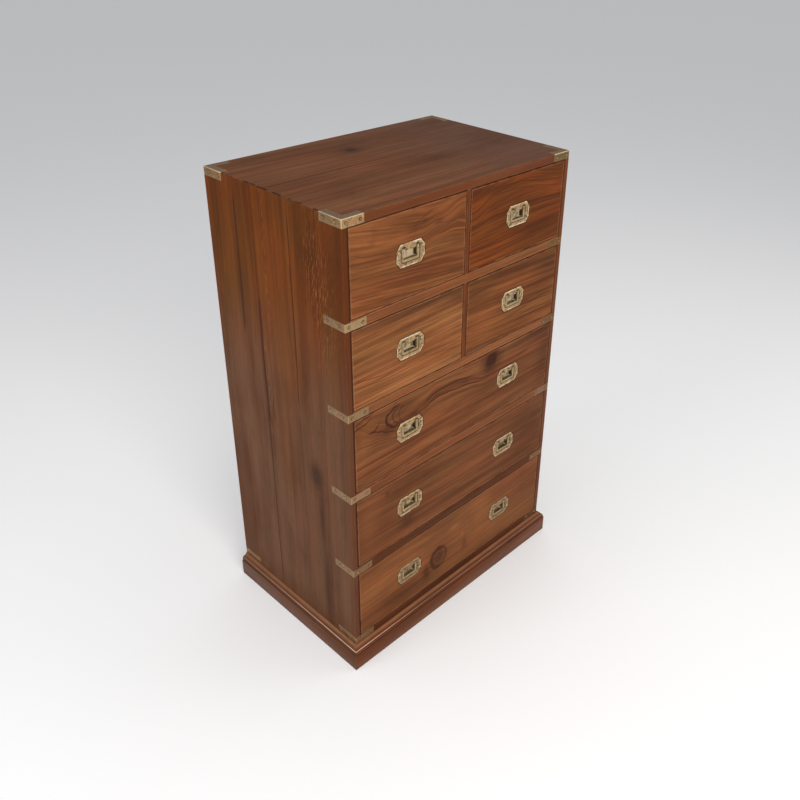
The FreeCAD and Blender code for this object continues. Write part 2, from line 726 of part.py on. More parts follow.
def make_drawer(name, row, opening):
    """Front, dovetailed sides and back, bottom and handles of one drawer."""
    opening_x, opening_width, handles = opening
    left_x = f"({opening_x} + drawer_side_gap)"
    width = f"({opening_width} - 2 * drawer_side_gap)"
    right_x = f"({left_x} + {width} - drawer_side_thickness)"
    front_low = f"({floors[row]} + drawer_bottom_gap)"
    front_high = f"({ceilings[row]} - drawer_top_gap)"
    side_low = f"({floors[row]} + runner_clearance)"
    side_high = f"({front_high} - drawer_side_drop)"
    panel_low = f"({side_low} + drawer_bottom_raise)"
    panel_high = f"({panel_low} + drawer_bottom_thickness)"
    back_high = f"({side_high} - drawer_back_drop)"
    handle_z = f"(({floors[row]} + {ceilings[row]}) / 2)"
    tail_low = f"({panel_high} + dovetail_margin)"
    tail_high = f"({back_high} - dovetail_margin)"

    panel = box(name + "_panel",
                f"{left_x} + drawer_side_thickness - drawer_groove", "front_inner - drawer_groove",
                panel_low, f"{width} - 2 * (drawer_side_thickness - drawer_groove)",
                "drawer_end - front_inner + drawer_groove", "drawer_bottom_thickness")
    node(name + "_bottom", panel)

    sides = []
    front_tails = []
    back_tails = []
    for hand, x in (("left", left_x), ("right", right_x)):
        front_row = tails(f"{name}_{hand}_front_tail", x, "drawer_face + dovetail_lap",
                          "front_inner", tail_low, tail_high)
        back_row = tails(f"{name}_{hand}_back_tail", x, "drawer_end",
                         "drawer_back_face", tail_low, tail_high)
        blank = box(f"{name}_{hand}_side_blank", x, "front_inner", side_low,
                    "drawer_side_thickness", "drawer_back_face - front_inner",
                    f"{side_high} - {side_low}")
        heel = box(f"{name}_{hand}_heel", x, "drawer_back_face", side_low,
                   "drawer_side_thickness", "drawer_back_thickness", f"{panel_high} - {side_low}")
        with_tails = joined(f"{name}_{hand}_side_tailed", [blank, heel] + front_row + back_row)
        sides.append(cut(f"{name}_{hand}_side", with_tails, [panel]))
        front_tails += front_row
        back_tails += back_row

    back_blank = box(name + "_back_blank", left_x, "drawer_back_face", panel_high,
                     width, "drawer_back_thickness", f"{back_high} - {panel_high}")
    back = cut(name + "_back", back_blank, back_tails)
    node(name + "_box", grouped(name + "_carcase", sides + [back]))

    plates = []
    cavities = []
    for hand, handle_place in handles:
        plates.append(moved(f"{name}_{hand}plate", handle_plate,
                            handle_place, "drawer_face", handle_z))
        cavities.append(moved(f"{name}_{hand}cavity", handle_cavity,
                              handle_place, "drawer_face", handle_z))
        node(f"{name}_{hand}bail", moved(f"{name}_{hand}swing", bail,
                                         handle_place, "drawer_face", handle_z))
    node(name + "_plates", grouped(name + "_castings", plates))

    front_blank_board = box(name + "_front_blank", left_x, "drawer_face", front_low,
                            width, "front_thickness", f"{front_high} - {front_low}")
    node(name + "_front", cut(name + "_front_board", front_blank_board,
                              front_tails + [panel] + cavities))


for drawer_name, drawer_row, drawer_opening in drawers:
    make_drawer(drawer_name, drawer_row, drawer_opening)

# ---------------------------------------------------------------- check and write

doc.recompute()
for item in doc.Objects:
    if "Invalid" in item.State or "Error" in item.State:
        raise RuntimeError(f"{item.Name} failed: {item.State}")
for item in nodes:
    if item.Shape.isNull() or not item.Shape.isValid() or not item.Shape.Solids:
        raise RuntimeError(f"{item.Label} has no sound shape")

os.makedirs("parts", exist_ok=True)
for item in nodes:
    item.Shape.exportStep(f"parts/{item.Label}.step")
print(len(nodes), "sub-parts,", sum(len(item.Shape.Solids) for item in nodes), "solids")
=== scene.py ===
import json
import math
import bmesh
import bpy
from mathutils import Matrix, Vector


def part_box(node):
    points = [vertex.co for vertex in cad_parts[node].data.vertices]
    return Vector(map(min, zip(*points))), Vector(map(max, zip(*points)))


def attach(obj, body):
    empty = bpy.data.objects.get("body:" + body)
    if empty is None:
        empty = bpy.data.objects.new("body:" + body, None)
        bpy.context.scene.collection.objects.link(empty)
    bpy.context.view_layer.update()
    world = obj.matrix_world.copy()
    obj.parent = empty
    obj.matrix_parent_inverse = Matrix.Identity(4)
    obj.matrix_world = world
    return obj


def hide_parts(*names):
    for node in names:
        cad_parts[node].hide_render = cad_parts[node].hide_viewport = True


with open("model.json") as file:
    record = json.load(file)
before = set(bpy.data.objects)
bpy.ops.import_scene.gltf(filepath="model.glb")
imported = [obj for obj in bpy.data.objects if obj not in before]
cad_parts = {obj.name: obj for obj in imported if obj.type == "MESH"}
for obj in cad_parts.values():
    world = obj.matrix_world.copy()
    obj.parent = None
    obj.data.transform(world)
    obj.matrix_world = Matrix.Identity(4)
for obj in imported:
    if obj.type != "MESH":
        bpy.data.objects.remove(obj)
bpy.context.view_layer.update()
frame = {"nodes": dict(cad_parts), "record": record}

# Campaign chest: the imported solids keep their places, and this script eases their edges,
# adds the screws, and gives every board and casting its own finish. Metres throughout.

bodyOfNode = {node: body for body, members in frame["record"]["behaviour"]["bodies"].items()
              for node in members}
bpy.context.scene.view_settings.view_transform = "Standard"
print("chest: solids loaded,", len(bodyOfNode))

# places, taken from the solids


def corners(node):  # a node's low and high corners, without the meshes' rounding
    return [[round(value, 5) for value in corner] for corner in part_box(node)]


def middle(node, axis):
    low, high = corners(node)
    return round((low[axis] + high[axis]) / 2, 5)


caseLow, caseHigh = corners("left_side")
caseFace = {"front": caseLow[1], "back": caseHigh[1], "side": -caseLow[0],
            "middleY": middle("left_side", 1)}
drawerFace = corners("top_left_front")[0][1]
handleX = middle("top_right_bail", 0)
strapMiddle = 0.010   # above the lower edge of the rail or board that the strap is let into
strapLevels = [corners(node)[0][2] + strapMiddle
               for node in ("bottom_board", "rail_1", "rail_2", "rail_3", "rail_4")]
bracketLevel = corners("top_board")[0][2] + strapMiddle
armScrews = {"near": 0.012, "far": 0.050, "sideSet": 0.008}   # along an arm from its corner
# a handle plate: half its width and height, its cut corners, and its screws from the middle
plateShape = {"half": (0.0430, 0.0270), "slant": (0.821, 0.571), "slantReach": 0.0419,
              "screws": (0.037, 0.010)}

# camera, light and floor

cameraSet = {
    "place": (-1.3675, -1.4469, 1.7932),
    "yaw": 47.19, "pitch": 27.85, "roll": 1.58,   # degrees
    "focal": 38.10, "sensor": 36.0,               # millimetres
    "shift": (-0.06, -0.08), "clip": 200,
}
lightSet = {
    "skyLow": (0.50, 0.51, 0.53), "skyHigh": (0.80, 0.81, 0.84), "skyStrength": 0.55,
    # name: place, size, watts, colour; each looks at the middle of the chest
    "lamps": {
        "keyLamp": ((-1.3, -3.1, 2.3), 2.0, 84.0, (1.0, 0.97, 0.93)),
        "sideLamp": ((-3.2, 0.5, 1.6), 1.8, 33.0, (0.98, 0.98, 1.0)),
        "topLamp": ((0.4, 0.2, 3.6), 2.4, 20.0, (1.0, 0.99, 0.97)),
        "rightLamp": ((2.6, -2.4, 1.5), 1.8, 20.0, (1.0, 0.98, 0.95)),
    },
    "aim": (0.0, 0.0, 0.60),
}
floorSet = {"size": 80.0, "colour": (0.84, 0.84, 0.84), "roughness": 0.8, "glow": 0.16}


def makeCamera(settings):
    camera = bpy.data.objects.new("chestCamera", bpy.data.cameras.new("chestCamera"))
    bpy.context.scene.collection.objects.link(camera)
    turn = (Matrix.Rotation(-math.radians(settings["yaw"]), 4, "Z")
            @ Matrix.Rotation(math.radians(90 - settings["pitch"]), 4, "X")
            @ Matrix.Rotation(math.radians(settings["roll"]), 4, "Z"))
    camera.matrix_world = Matrix.Translation(settings["place"]) @ turn
    camera.data.sensor_width = settings["sensor"]
    camera.data.lens = settings["focal"]
    camera.data.shift_x, camera.data.shift_y = settings["shift"]
    camera.data.clip_end = settings["clip"]
    bpy.context.scene.camera = camera


def makeLamp(name, place, size, watts, colour):
    lamp = bpy.data.lights.new(name, "AREA")
    lamp.shape, lamp.size = "SQUARE", size
    lamp.energy, lamp.color = watts, colour
    holder = bpy.data.objects.new(name, lamp)
    bpy.context.scene.collection.objects.link(holder)
    holder.location = place
    aim = Vector(lightSet["aim"]) - Vector(place)
    holder.rotation_euler = aim.to_track_quat("-Z", "Y").to_euler()


# shader maths

class Wire:  # an output socket that takes part in expressions
    def __init__(self, recipe, socket):
        self.recipe = recipe
        self.socket = socket

    def math(self, operation, *others):
        return self.recipe.node("Math", {"operation": operation}, dict(enumerate((self, *others))))

    def __add__(self, other):
        return self.math("ADD", other)

    def __sub__(self, other):
        return self.math("SUBTRACT", other)

    def __rsub__(self, other):
        return self.math("MULTIPLY_ADD", -1.0, other)

    def __mul__(self, other):
        return self.math("MULTIPLY", other)

    def __neg__(self):
        return self.math("MULTIPLY", -1.0)

    def __abs__(self):
        return self.math("ABSOLUTE")

    __radd__ = __add__
    __rmul__ = __mul__


class Recipe:  # one material and its nodes
    def __init__(self, name):
        self.material = bpy.data.materials.new(name)
        self.material.use_nodes = True
        self.tree = self.material.node_tree
        self.tree.nodes.clear()
        self.object = self.node("TexCoord", output="Object")

    def node(self, kind, settings=None, values=None, output=0):
        made = self.tree.nodes.new("ShaderNode" + kind)
        for key, value in (settings or {}).items():
            setattr(made, key, value)
        for key, value in (values or {}).items():
            if isinstance(value, Wire):
                self.tree.links.new(value.socket, made.inputs[key])
            elif isinstance(value, tuple) and made.inputs[key].type == "RGBA":
                made.inputs[key].default_value = (*value, 1.0)
            else:
                made.inputs[key].default_value = value
        return Wire(self, made.outputs[output]) if made.outputs else None

    def split(self, vector):
        made = self.node("SeparateXYZ", values={0: vector})
        return [Wire(self, socket) for socket in made.socket.node.outputs]

    def join(self, x, y, z):
        return self.node("CombineXYZ", values={0: x, 1: y, 2: z})

    def noise(self, vector, detail=2.0, rough=0.5):
        return self.node("TexNoise", values={
            "Vector": vector, "Scale": 1.0, "Detail": detail, "Roughness": rough})

    def fade(self, value, start, end, low=0.0, high=1.0):  # eased from low at start to high at end
        return self.node("MapRange", {"interpolation_type": "SMOOTHSTEP"},
                         {0: value, 1: start, 2: end, 3: low, 4: high})

    def blend(self, share, first, second, how="MIX"):
        return self.node("Mix", {"data_type": "RGBA", "blend_type": how},
                         {0: share, 6: first, 7: second}, 2)

    def smaller(self, first, second):
        return first.math("MINIMUM", second)

    def larger(self, first, second):
        return first.math("MAXIMUM", second)

    def reach(self, u, v):
        return (u * u + v * v).math("SQRT")

    def mound(self, u, v):  # 1 in the middle, falling away over about one unit
        return (-(u * u + v * v)).math("EXPONENT")

    def plateRim(self, aside, above):  # distance outside a handle plate's outline
        halfWidth, halfHeight = plateShape["half"]
        slantAside, slantAbove = plateShape["slant"]
        straight = self.larger(aside - halfWidth, above - halfHeight)
        return self.larger(straight, aside * slantAside + above * slantAbove - plateShape["slantReach"])

    def path(self, along, points):  # a height that runs through the points, level at each
        height = points[0][1]
        for (start, low), (end, high) in zip(points, points[1:]):
            height = self.fade(along, start, end, 0.0, high - low) + height
        return height

    def edgeDistance(self, low, high):  # from a point on a box to the nearest of its edges
        near = [self.smaller(axis - low[index], high[index] - axis)
                for index, axis in enumerate(self.split(self.object))]
        a, b, c = [self.larger(value, 0.0) for value in near]
        return self.larger(self.smaller(a, b), self.smaller(self.larger(a, b), c))

    def paint(self, share, shade, how="MIX"):  # lays a shade over the colour so far
        self.colour = self.blend(share, self.colour, shade, how)

    def finish(self, colour, roughness, height=None, depth=0.0003, **constants):
        values = {"Base Color": colour, "Roughness": roughness, **constants}
        if height is not None:
            values["Normal"] = self.node("Bump", values={
                "Height": height, "Distance": depth, "Strength": 1.0})
        self.node("OutputMaterial", values={"Surface": self.node("BsdfPrincipled", values=values)})
        return self.material


def makeFloor(settings):
    bpy.ops.mesh.primitive_plane_add(size=settings["size"])
    ground = bpy.context.active_object
    ground.name = "studioFloor"
    paint = Recipe("studioFloorPaint")
    seen = [paint.node("LightPath", output=kind)
            for kind in ("Is Camera Ray", "Is Glossy Ray", "Is Transmission Ray")]
    shown = paint.larger(paint.larger(seen[0], seen[1]), seen[2])
    glow = paint.blend(shown, (0.0, 0.0, 0.0), (settings["glow"],) * 3)
    ground.data.materials.append(paint.finish(settings["colour"], settings["roughness"], **{
        "Emission Color": glow, "Emission Strength": 1.0}))


def makeSky(settings):
    world = bpy.data.worlds.new("studioSky")
    world.use_nodes = True
    bpy.context.scene.world = world
    tree = world.node_tree
    tree.nodes.clear()
    spot = tree.nodes.new("ShaderNodeTexCoord")
    parts = tree.nodes.new("ShaderNodeSeparateXYZ")
    ramp = tree.nodes.new("ShaderNodeValToRGB")
    glow = tree.nodes.new("ShaderNodeBackground")
    end = tree.nodes.new("ShaderNodeOutputWorld")
    ramp.color_ramp.elements[0].color = (*settings["skyLow"], 1)
    ramp.color_ramp.elements[1].color = (*settings["skyHigh"], 1)
    glow.inputs["Strength"].default_value = settings["skyStrength"]
    tree.links.new(spot.outputs["Generated"], parts.inputs[0])
    tree.links.new(parts.outputs["Z"], ramp.inputs[0])
    tree.links.new(ramp.outputs[0], glow.inputs["Color"])
    tree.links.new(glow.outputs[0], end.inputs["Surface"])


makeCamera(cameraSet)
makeSky(lightSet)
for lampName, lampValues in lightSet["lamps"].items():
    makeLamp(lampName, *lampValues)
makeFloor(floorSet)
print("chest: camera, lamps and floor ready")

# wood

axisOf = {"x": 0, "y": 1, "z": 2}
teakBase = {
    "grain": "x", "across": "z", "seed": 0.0,
    "light": (0.225, 0.078, 0.024), "mid": (0.160, 0.050, 0.015), "dark": (0.045, 0.013, 0.006),
    "wander": 0.020, "ripple": 0.0035,   # how far the grain strays, in metres
    "slope": 0.0,                        # rise across the grain for each metre along it
    "spacing": 0.0085,                   # between growth rings
    "ringDark": 0.50, "fineDark": 0.26, "streakDark": 0.45, "bandShare": 0.75, "blotch": 0.40,
    "ringZone": None,                    # places across: no rings at the first, full at the second
    "flow": None,                        # points that the grain follows, and how far across it does
    "trails": (),                        # points, half width, share: dark lines, drawn one by one
    "eyes": (),                          # along, across, length, height, rings, share
    "arcs": (),                          # the same, with half a width for the rings: open one way
    "flecks": (),                        # along, across, length, height, share: short pale dashes
    "knots": (),                         # along, across, radius, share
    "knotShade": (0.056, 0.023, 0.012),
    "tonePatches": (),                        # soft darker patches: along, across, length, height, share; under 0 is a pale one
    "paintedSheen": None,                       # painted sheen, a greyer reflection laid over the wood: colour, from, to, share, changing slowly along the board
    "joints": (), "jointShade": 0.45,    # places across of glued joints
    "planks": None,                      # start and width of the boards side by side
    "innerArrisShade": None,                  # painted shade of the gap at a side's inner arris: distance from the middle, share
    "frontShade": None,                  # the front edge: share, colour
    "threads": 0.0,                      # paler and darker threads along the grain
    "tone": (1.0, 1.0, 1.0), "hue": 0.55,
    "wear": 0.30, "grimeAndGapShade": 0.0,          # pale worn arrises; dirt and painted shade of the gaps along them
    "halo": 0.0, "chips": 0.0,           # paler just inside the dark edge: wear with a painted highlight; dark dents along the left arris
    "plates": (), "lines": (),           # brass let into a face, with dirt and painted shade round it; lines: height, width, share, tint, the tints giving wear, painted highlights and painted shade
    "rough": 0.44, "shine": 0.06,
}
# tints: worn is wear; the rubbed one is wear with a painted highlight; the dirt one serves dirt and painted
# shade; the inner arris one is painted shade
tints = {
    "worn": (0.400, 0.190, 0.095), "rubbed": (0.620, 0.400, 0.300), "dirt": (0.014, 0.006, 0.004),
    "innerArrisShade": (0.036, 0.008, 0.003),
    # these multiply the colour
    "redder": (1.12, 0.93, 0.86), "greener": (0.92, 1.03, 0.94),
    "darkThread": (0.68, 0.66, 0.64), "paleThread": (1.30, 1.32, 1.34),
}
# waves per metre along, across and into the board; shift; detail; roughness; where it fades in
grainSet = {
    "ripple": (7.0, 26.0, 26.0, 3.1, 2.0, 0.5, None),
    "wander": (1.3, 3.5, 3.5, 0.0, 2.0, 0.5, None),
    "jitter": (2.0, 90.0, 20.0, 5.7, 2.0, 0.5, None),
    "ringPatches": (0.9, 50.0, 12.0, 9.3, 2.0, 0.5, (0.34, 0.68)),
    "ringClouds": (5.0, 14.0, 14.0, 7.9, 2.0, 0.5, (0.30, 0.62)),
    "fineClouds": (6.0, 22.0, 22.0, 10.4, 2.0, 0.5, (0.40, 0.62)),
    "bands": (0.6, 34.0, 8.0, 1.9, 2.0, 0.6, (0.34, 0.66)),
    "streaks": (3.2, 150.0, 40.0, 2.7, 4.0, 0.68, (0.44, 0.72)),
    "fibres": (11.0, 620.0, 300.0, 4.4, 3.0, 0.6, None),
    "pores": (60.0, 1500.0, 900.0, 8.8, 2.0, 0.5, (0.64, 0.76)),
    "blotches": (3.4, 7.5, 7.5, 6.6, 3.0, 0.55, (0.44, 0.72)),
    "hues": (3.0, 16.0, 16.0, 12.7, 2.0, 0.6, (0.36, 0.64)),
    "threads": (4.2, 140.0, 50.0, 17.3, 3.0, 0.62, (0.38, 0.62)),
    "eyes": (34.0, 34.0, 34.0, 1.3, 3.0, 0.5, None),
    "arcs": (30.0, 30.0, 30.0, 1.3, 2.0, 0.5, None),
    "flecks": (38.0, 320.0, 60.0, 14.2, 2.0, 0.5, (0.54, 0.64)),
    "knots": (45.0, 45.0, 45.0, 0.0, 3.0, 0.5, None),
    "wear": (22.0, 30.0, 30.0, 2.2, 3.0, 0.65, None),
}
ringSet = {   # over one ring: where late wood comes in and ends; finer lines lie between
    "jitter": 1.6, "rise": (0.25, 0.92), "fall": (1.0, 0.93),
    "finePerRing": 2.6, "fineShift": 0.3, "fineRise": (0.15, 0.85), "fineFall": (1.0, 0.88),
}
edgeSet = {   # distances from an edge, joint or face over which each comes in, and its patches
    "wear": (0.0024, 0.0004), "wearPatches": (0.34, 0.62),
    "halo": (0.0052, 0.0034), "haloPatches": (0.38, 0.58),
    "chips": (0.0070, 0.0035), "chipPatches": (0.47, 0.55), "chipSide": (0.012, 0.006),
    "grimeAndGapShade": (0.0021, 0.0009), "plateDirtAndShade": (0.0040, 0.0005), "plateShare": 0.50,
    "innerArrisShade": (0.0034, 0.0016), "joint": (0.0016, 0.0003), "frontSkin": (0.0013, 0.0005),
}
plankShift = 3.7   # metres that the figure moves along from one plank to the next
# the plinth's painted highlight lines are brightest at the front-left corner, towards the key lamp
nearCorner = {"slope": (1.6, 0.8), "between": (-0.820, -0.420), "farShare": 0.28}


class Board(Recipe):  # a teak board: its look, its axes and the colour so far
    def __init__(self, name, node, look):
        super().__init__(name)
        self.look = look
        self.low, self.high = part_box(node)
        self.axes = self.split(self.object)
        alongAxis, acrossAxis = axisOf[look["grain"]], axisOf[look["across"]]
        self.along, self.across = self.axes[alongAxis], self.axes[acrossAxis]
        self.deep = self.axes[3 - alongAxis - acrossAxis]
        if look["planks"]:
            start, width = look["planks"]
            self.along = self.along + ((self.across - start) * (1 / width)).math("FLOOR") * plankShift

    def grain(self, kind, level=None):
        alongScale, acrossScale, deepScale, shift, detail, rough, between = grainSet[kind]
        level, seed = level or self.across, self.look["seed"]
        noise = self.noise(self.join(self.along * alongScale + (seed + shift), level * acrossScale + seed,
                                     self.deep * deepScale + shift), detail, rough)
        return self.fade(noise, *between) if between else noise

    def layGrain(self):  # the growth rings, and the finer figure in them
        look, along, across = self.look, self.along, self.across
        self.ripple = (self.grain("ripple") - 0.5) * look["ripple"]
        level = (across + (self.grain("wander") - 0.5) * look["wander"]
                 + self.ripple + along * look["slope"])
        if look["flow"]:
            points, width = look["flow"]
            route = self.path(along, points)
            base = sum(height for place, height in points) / len(points)
            away = (across - route) * (1 / width)
            level = level - (route - base) * (-(away * away)).math("EXPONENT")
        ring = level * (1 / look["spacing"]) + (self.grain("jitter", level) - 0.5) * ringSet["jitter"]
        strength = self.grain("ringPatches", level) * self.grain("ringClouds")
        if look["ringZone"]:
            strength = strength * self.fade(across, *look["ringZone"])
        phase = ring.math("FRACT")
        self.lateWood = self.fade(phase, *ringSet["rise"]) * self.fade(phase, *ringSet["fall"]) * strength
        phase = (ring * ringSet["finePerRing"] + ringSet["fineShift"]).math("FRACT")
        self.fineWood = (self.fade(phase, *ringSet["fineRise"]) * self.fade(phase, *ringSet["fineFall"])
                         * self.grain("fineClouds"))
        self.band = self.grain("bands", level)
        self.streak = self.grain("streaks", level)
        self.fibre = self.grain("fibres", level)
        self.pores = self.grain("pores")
        self.blotch = self.grain("blotches")
        self.level = level

    def paintGround(self):  # the wood's own colour, its slow changes, and a painted sheen
        look, band = self.look, self.band
        self.colour = self.blend(band * look["bandShare"] + self.fibre * 0.5 - 0.15,
                                 look["mid"], look["light"])
        hues = self.blend(self.grain("hues"), tints["redder"], tints["greener"])
        self.paint(look["hue"], hues, "MULTIPLY")
        if look["threads"]:
            threads = self.blend(self.grain("threads", self.level), tints["darkThread"], tints["paleThread"])
            self.paint(look["threads"], threads, "MULTIPLY")
        if look["paintedSheen"]:
            tint, start, end, share = look["paintedSheen"]
            self.paint(self.fade(self.along, start, end) * (0.7 + band * 0.3) * share, tint)
        self.paint(self.blotch * look["blotch"], tuple(0.55 * c for c in look["mid"]))
        for patchAlong, patchAcross, length, height, share in look["tonePatches"]:
            spot = self.mound((self.along - patchAlong) * (1 / length),
                              (self.across + self.ripple * 1.5 - patchAcross) * (1 / height))
            shade = (tuple(0.30 * c for c in look["mid"]) if share > 0
                     else tuple(1.45 * c for c in look["light"]))
            self.paint(spot * abs(share) * (0.75 + band * 0.25), shade)
        self.paint(self.streak * look["streakDark"], look["dark"])
        self.paint(self.larger(self.lateWood * look["ringDark"], self.fineWood * look["fineDark"]),
                   look["dark"])

    def around(self, alongPlace, acrossPlace, length, height):  # 1 on the oval about a place
        return self.reach((self.along - alongPlace) * (1 / length),
                          (self.across - acrossPlace) * (1 / height))

    def drawLines(self):  # dark lines, eyes and arcs, and pale dashes
        look, along, across, fibre = self.look, self.along, self.across, self.fibre
        for points, width, share in look["trails"]:
            trail = self.fade(abs(across + self.ripple * 0.6 - self.path(along, points)), width, width * 0.2)
            first, last = points[0][0], points[-1][0]
            taper = self.fade(along, first, first + 0.03) * self.fade(along, last, last - 0.03)
            self.paint(trail * taper * (0.55 + fibre * 0.8) * share, look["dark"])
        for *oval, rings, share in look["eyes"]:
            reach = self.around(*oval) + (self.grain("eyes") - 0.5) * 0.75
            line = self.fade(abs((reach * rings).math("FRACT") - 0.5), 0.30, 0.05)
            lines = line * self.fade(reach, 1.05, 0.85) * (0.35 + self.blotch * 0.25 + self.streak * 0.4)
            self.paint(lines * share, look["dark"])
        for *oval, width, share in look["arcs"]:
            reach = self.around(*oval) + (self.grain("arcs") - 0.5) * 0.70
            middleAlong, length = oval[0], oval[2]
            line = (self.fade(abs(reach - 1.0), width, width * 0.25)
                    * self.fade(along, middleAlong + length * 0.45, middleAlong - length * 0.25))
            self.paint(line * (0.65 + fibre * 0.6) * share, look["dark"])
        for fleckAlong, fleckAcross, length, height, share in look["flecks"]:
            dashes = self.grain("flecks", across + along * 0.14)
            zone = self.mound((along - fleckAlong) * (1 / length), (across - fleckAcross) * (1 / height))
            self.paint(dashes * zone * share, tuple(1.6 * c + 0.02 for c in look["light"]))
        self.paint(self.pores * 0.60, look["dark"])

    def drawKnots(self):
        look = self.look
        for knotAlong, knotAcross, radius, share in look["knots"]:
            reach = (self.reach(self.along - knotAlong, (self.across - knotAcross) * 1.1)
                     + (self.grain("knots") - 0.5) * (radius * 0.8))
            core = self.fade(reach, radius, radius * 0.45)
            halo = self.fade(reach, radius * 2.3, radius * 0.8) * 0.45
            ripples = (reach * (15.0 / radius)).math("SINE") * 0.5 + 0.5
            self.paint((core + halo * (0.65 + ripples * 0.35)) * share, look["knotShade"])
        for joint in look["joints"]:
            line = self.fade(abs(self.across - joint), *edgeSet["joint"])
            self.paint(line * look["jointShade"], look["dark"])

    def wearEdges(self):  # worn arrises, a darker front edge, painted shade by the stile's gap, a paler band of wear with a painted highlight, dents, and dirt with painted shade in the gaps
        look, axes = self.look, self.axes
        self.worn = self.grain("wear")
        rim = self.edgeDistance(self.low, self.high)
        if look["frontShade"]:
            front = self.fade(axes[1], *(caseFace["front"] + depth for depth in edgeSet["frontSkin"]))
            share, shade = look["frontShade"]
            self.paint(front * (0.7 + self.band * 0.5) * share, shade)
            # painted shade of the gap beside the stile's inner arris
            if look["innerArrisShade"]:
                distance, share = look["innerArrisShade"]
                arris = self.fade(abs(abs(axes[0]) - distance), *edgeSet["innerArrisShade"])
                self.paint(front * arris * share, tints["innerArrisShade"])
        if look["wear"]:
            patches = self.fade(self.worn, *edgeSet["wearPatches"])
            self.paint(self.fade(rim, *edgeSet["wear"]) * patches * look["wear"], tints["worn"])
        # a paler band inside the dark edge: wear with a painted highlight
        if look["halo"]:
            patches = self.fade(self.worn, *edgeSet["haloPatches"])
            self.paint(self.fade(rim, *edgeSet["halo"]) * patches * look["halo"], tints["worn"])
        if look["chips"]:
            patches = self.fade(self.worn, *edgeSet["chipPatches"])
            leftSide = self.fade(axes[0], *(self.low[0] + width for width in edgeSet["chipSide"]))
            self.paint(self.fade(rim, *edgeSet["chips"]) * patches * leftSide * look["chips"], tints["dirt"])
        # dark edges: dirt and painted shade of the gaps
        if look["grimeAndGapShade"]:
            self.paint(self.fade(rim, *edgeSet["grimeAndGapShade"]) * look["grimeAndGapShade"], tints["dirt"])

    def drawMouldingLines(self):  # along the plinth's moulding: wear, painted highlights and painted shade; and dirt with painted shade round the handle plates
        look, axes = self.look, self.axes
        for height, width, share, tint in look["lines"]:
            line = self.fade(abs(axes[2] - height), width, width * 0.3)
            fading = 1.0
            # the painted highlights fade away from the front-left corner
            if tint == "rubbed":
                acrossX, acrossY = nearCorner["slope"]
                fading = self.fade(axes[0] * acrossX + axes[1] * acrossY, *nearCorner["between"],
                                   1.0, nearCorner["farShare"])
            self.paint(line * fading * (0.45 + self.worn * 0.9) * share, tints[tint])
        # dirt and painted shade round each handle plate
        for plateX, plateZ in look["plates"]:
            beside = self.plateRim(abs(axes[0] - plateX), abs(axes[2] - plateZ))
            self.paint(self.fade(beside, *edgeSet["plateDirtAndShade"]) * edgeSet["plateShare"], tints["dirt"])


def teak(name, node, **changes):
    look = {**teakBase, **changes}
    for shade in ("light", "mid"):
        look[shade] = tuple(a * b for a, b in zip(look[shade], look["tone"]))
    board = Board(name, node, look)
    board.layGrain()
    board.paintGround()
    board.drawLines()
    board.drawKnots()
    board.wearEdges()
    board.drawMouldingLines()
    fibre, pores = board.fibre, board.pores
    bump = fibre * 0.35 - pores * 0.9 - board.lateWood * 0.25 + board.worn * 0.6
    roughness = look["rough"] + fibre * 0.12 + pores * 0.15 + board.blotch * 0.06
    return board.finish(board.colour, roughness, bump, 0.00035, **{"Specular IOR Level": look["shine"]})


# brass

brassBase = {
    "face": (0.400, 0.265, 0.140), "pale": (0.640, 0.480, 0.290), "tarnish": (0.110, 0.078, 0.034),
    "dirt": (0.030, 0.024, 0.012), "patina": (0.150, 0.094, 0.055), "cupDark": (0.230, 0.180, 0.095),
    "cupPale": (0.620, 0.500, 0.320), "rimRubAndHighlight": (0.880, 0.740, 0.490),
    "lowRows": (0.215, 0.125, 0.058), "rubbed": (0.700, 0.570, 0.380),
    "rough": 0.36, "shine": 0.12,
    "tone": (1.0, 1.0, 1.0), "speckle": 0.5, "grit": 290,   # waves of the speckles per metre
    "faceDepth": None,                   # y of a handle plate's face: behind it, dirt and painted shade
    "plateLevels": (),                   # heights of the plates: a bright rim, and screws
    "topPatina": False, "sideDull": 0.0, "edges": 0.0,   # edges: share rubbed bright, with a painted highlight
    "screwLevels": (),                   # heights of the screws in the corner brass
    "dullPlaces": (),                    # x, z, share and tint of dull arms on the front
}
dullArm = {"half": (0.036, 0.014), "x": 0.345, "skin": (0.0007, 0.0001)}
brassMarks = {   # over which each comes in, in metres
    "tray": (0.0012, 0.0040), "cup": (0.0075, 0.0120), "wall": (0.0005, 0.0020),   # behind the face
    "rim": (-0.0042, -0.0022), "rimDepth": (0.0010, 0.0004),   # inside the outline, behind the face
    "armScrew": 0.0036, "plateScrew": 0.0040, "screwRing": (0.0012, 0.0004),   # dark rings round the screw heads
    "lowRows": (0.62, 0.16), "topRim": (0.0017, 0.0009), "topRimHeight": (1.2015, 1.2040),
}


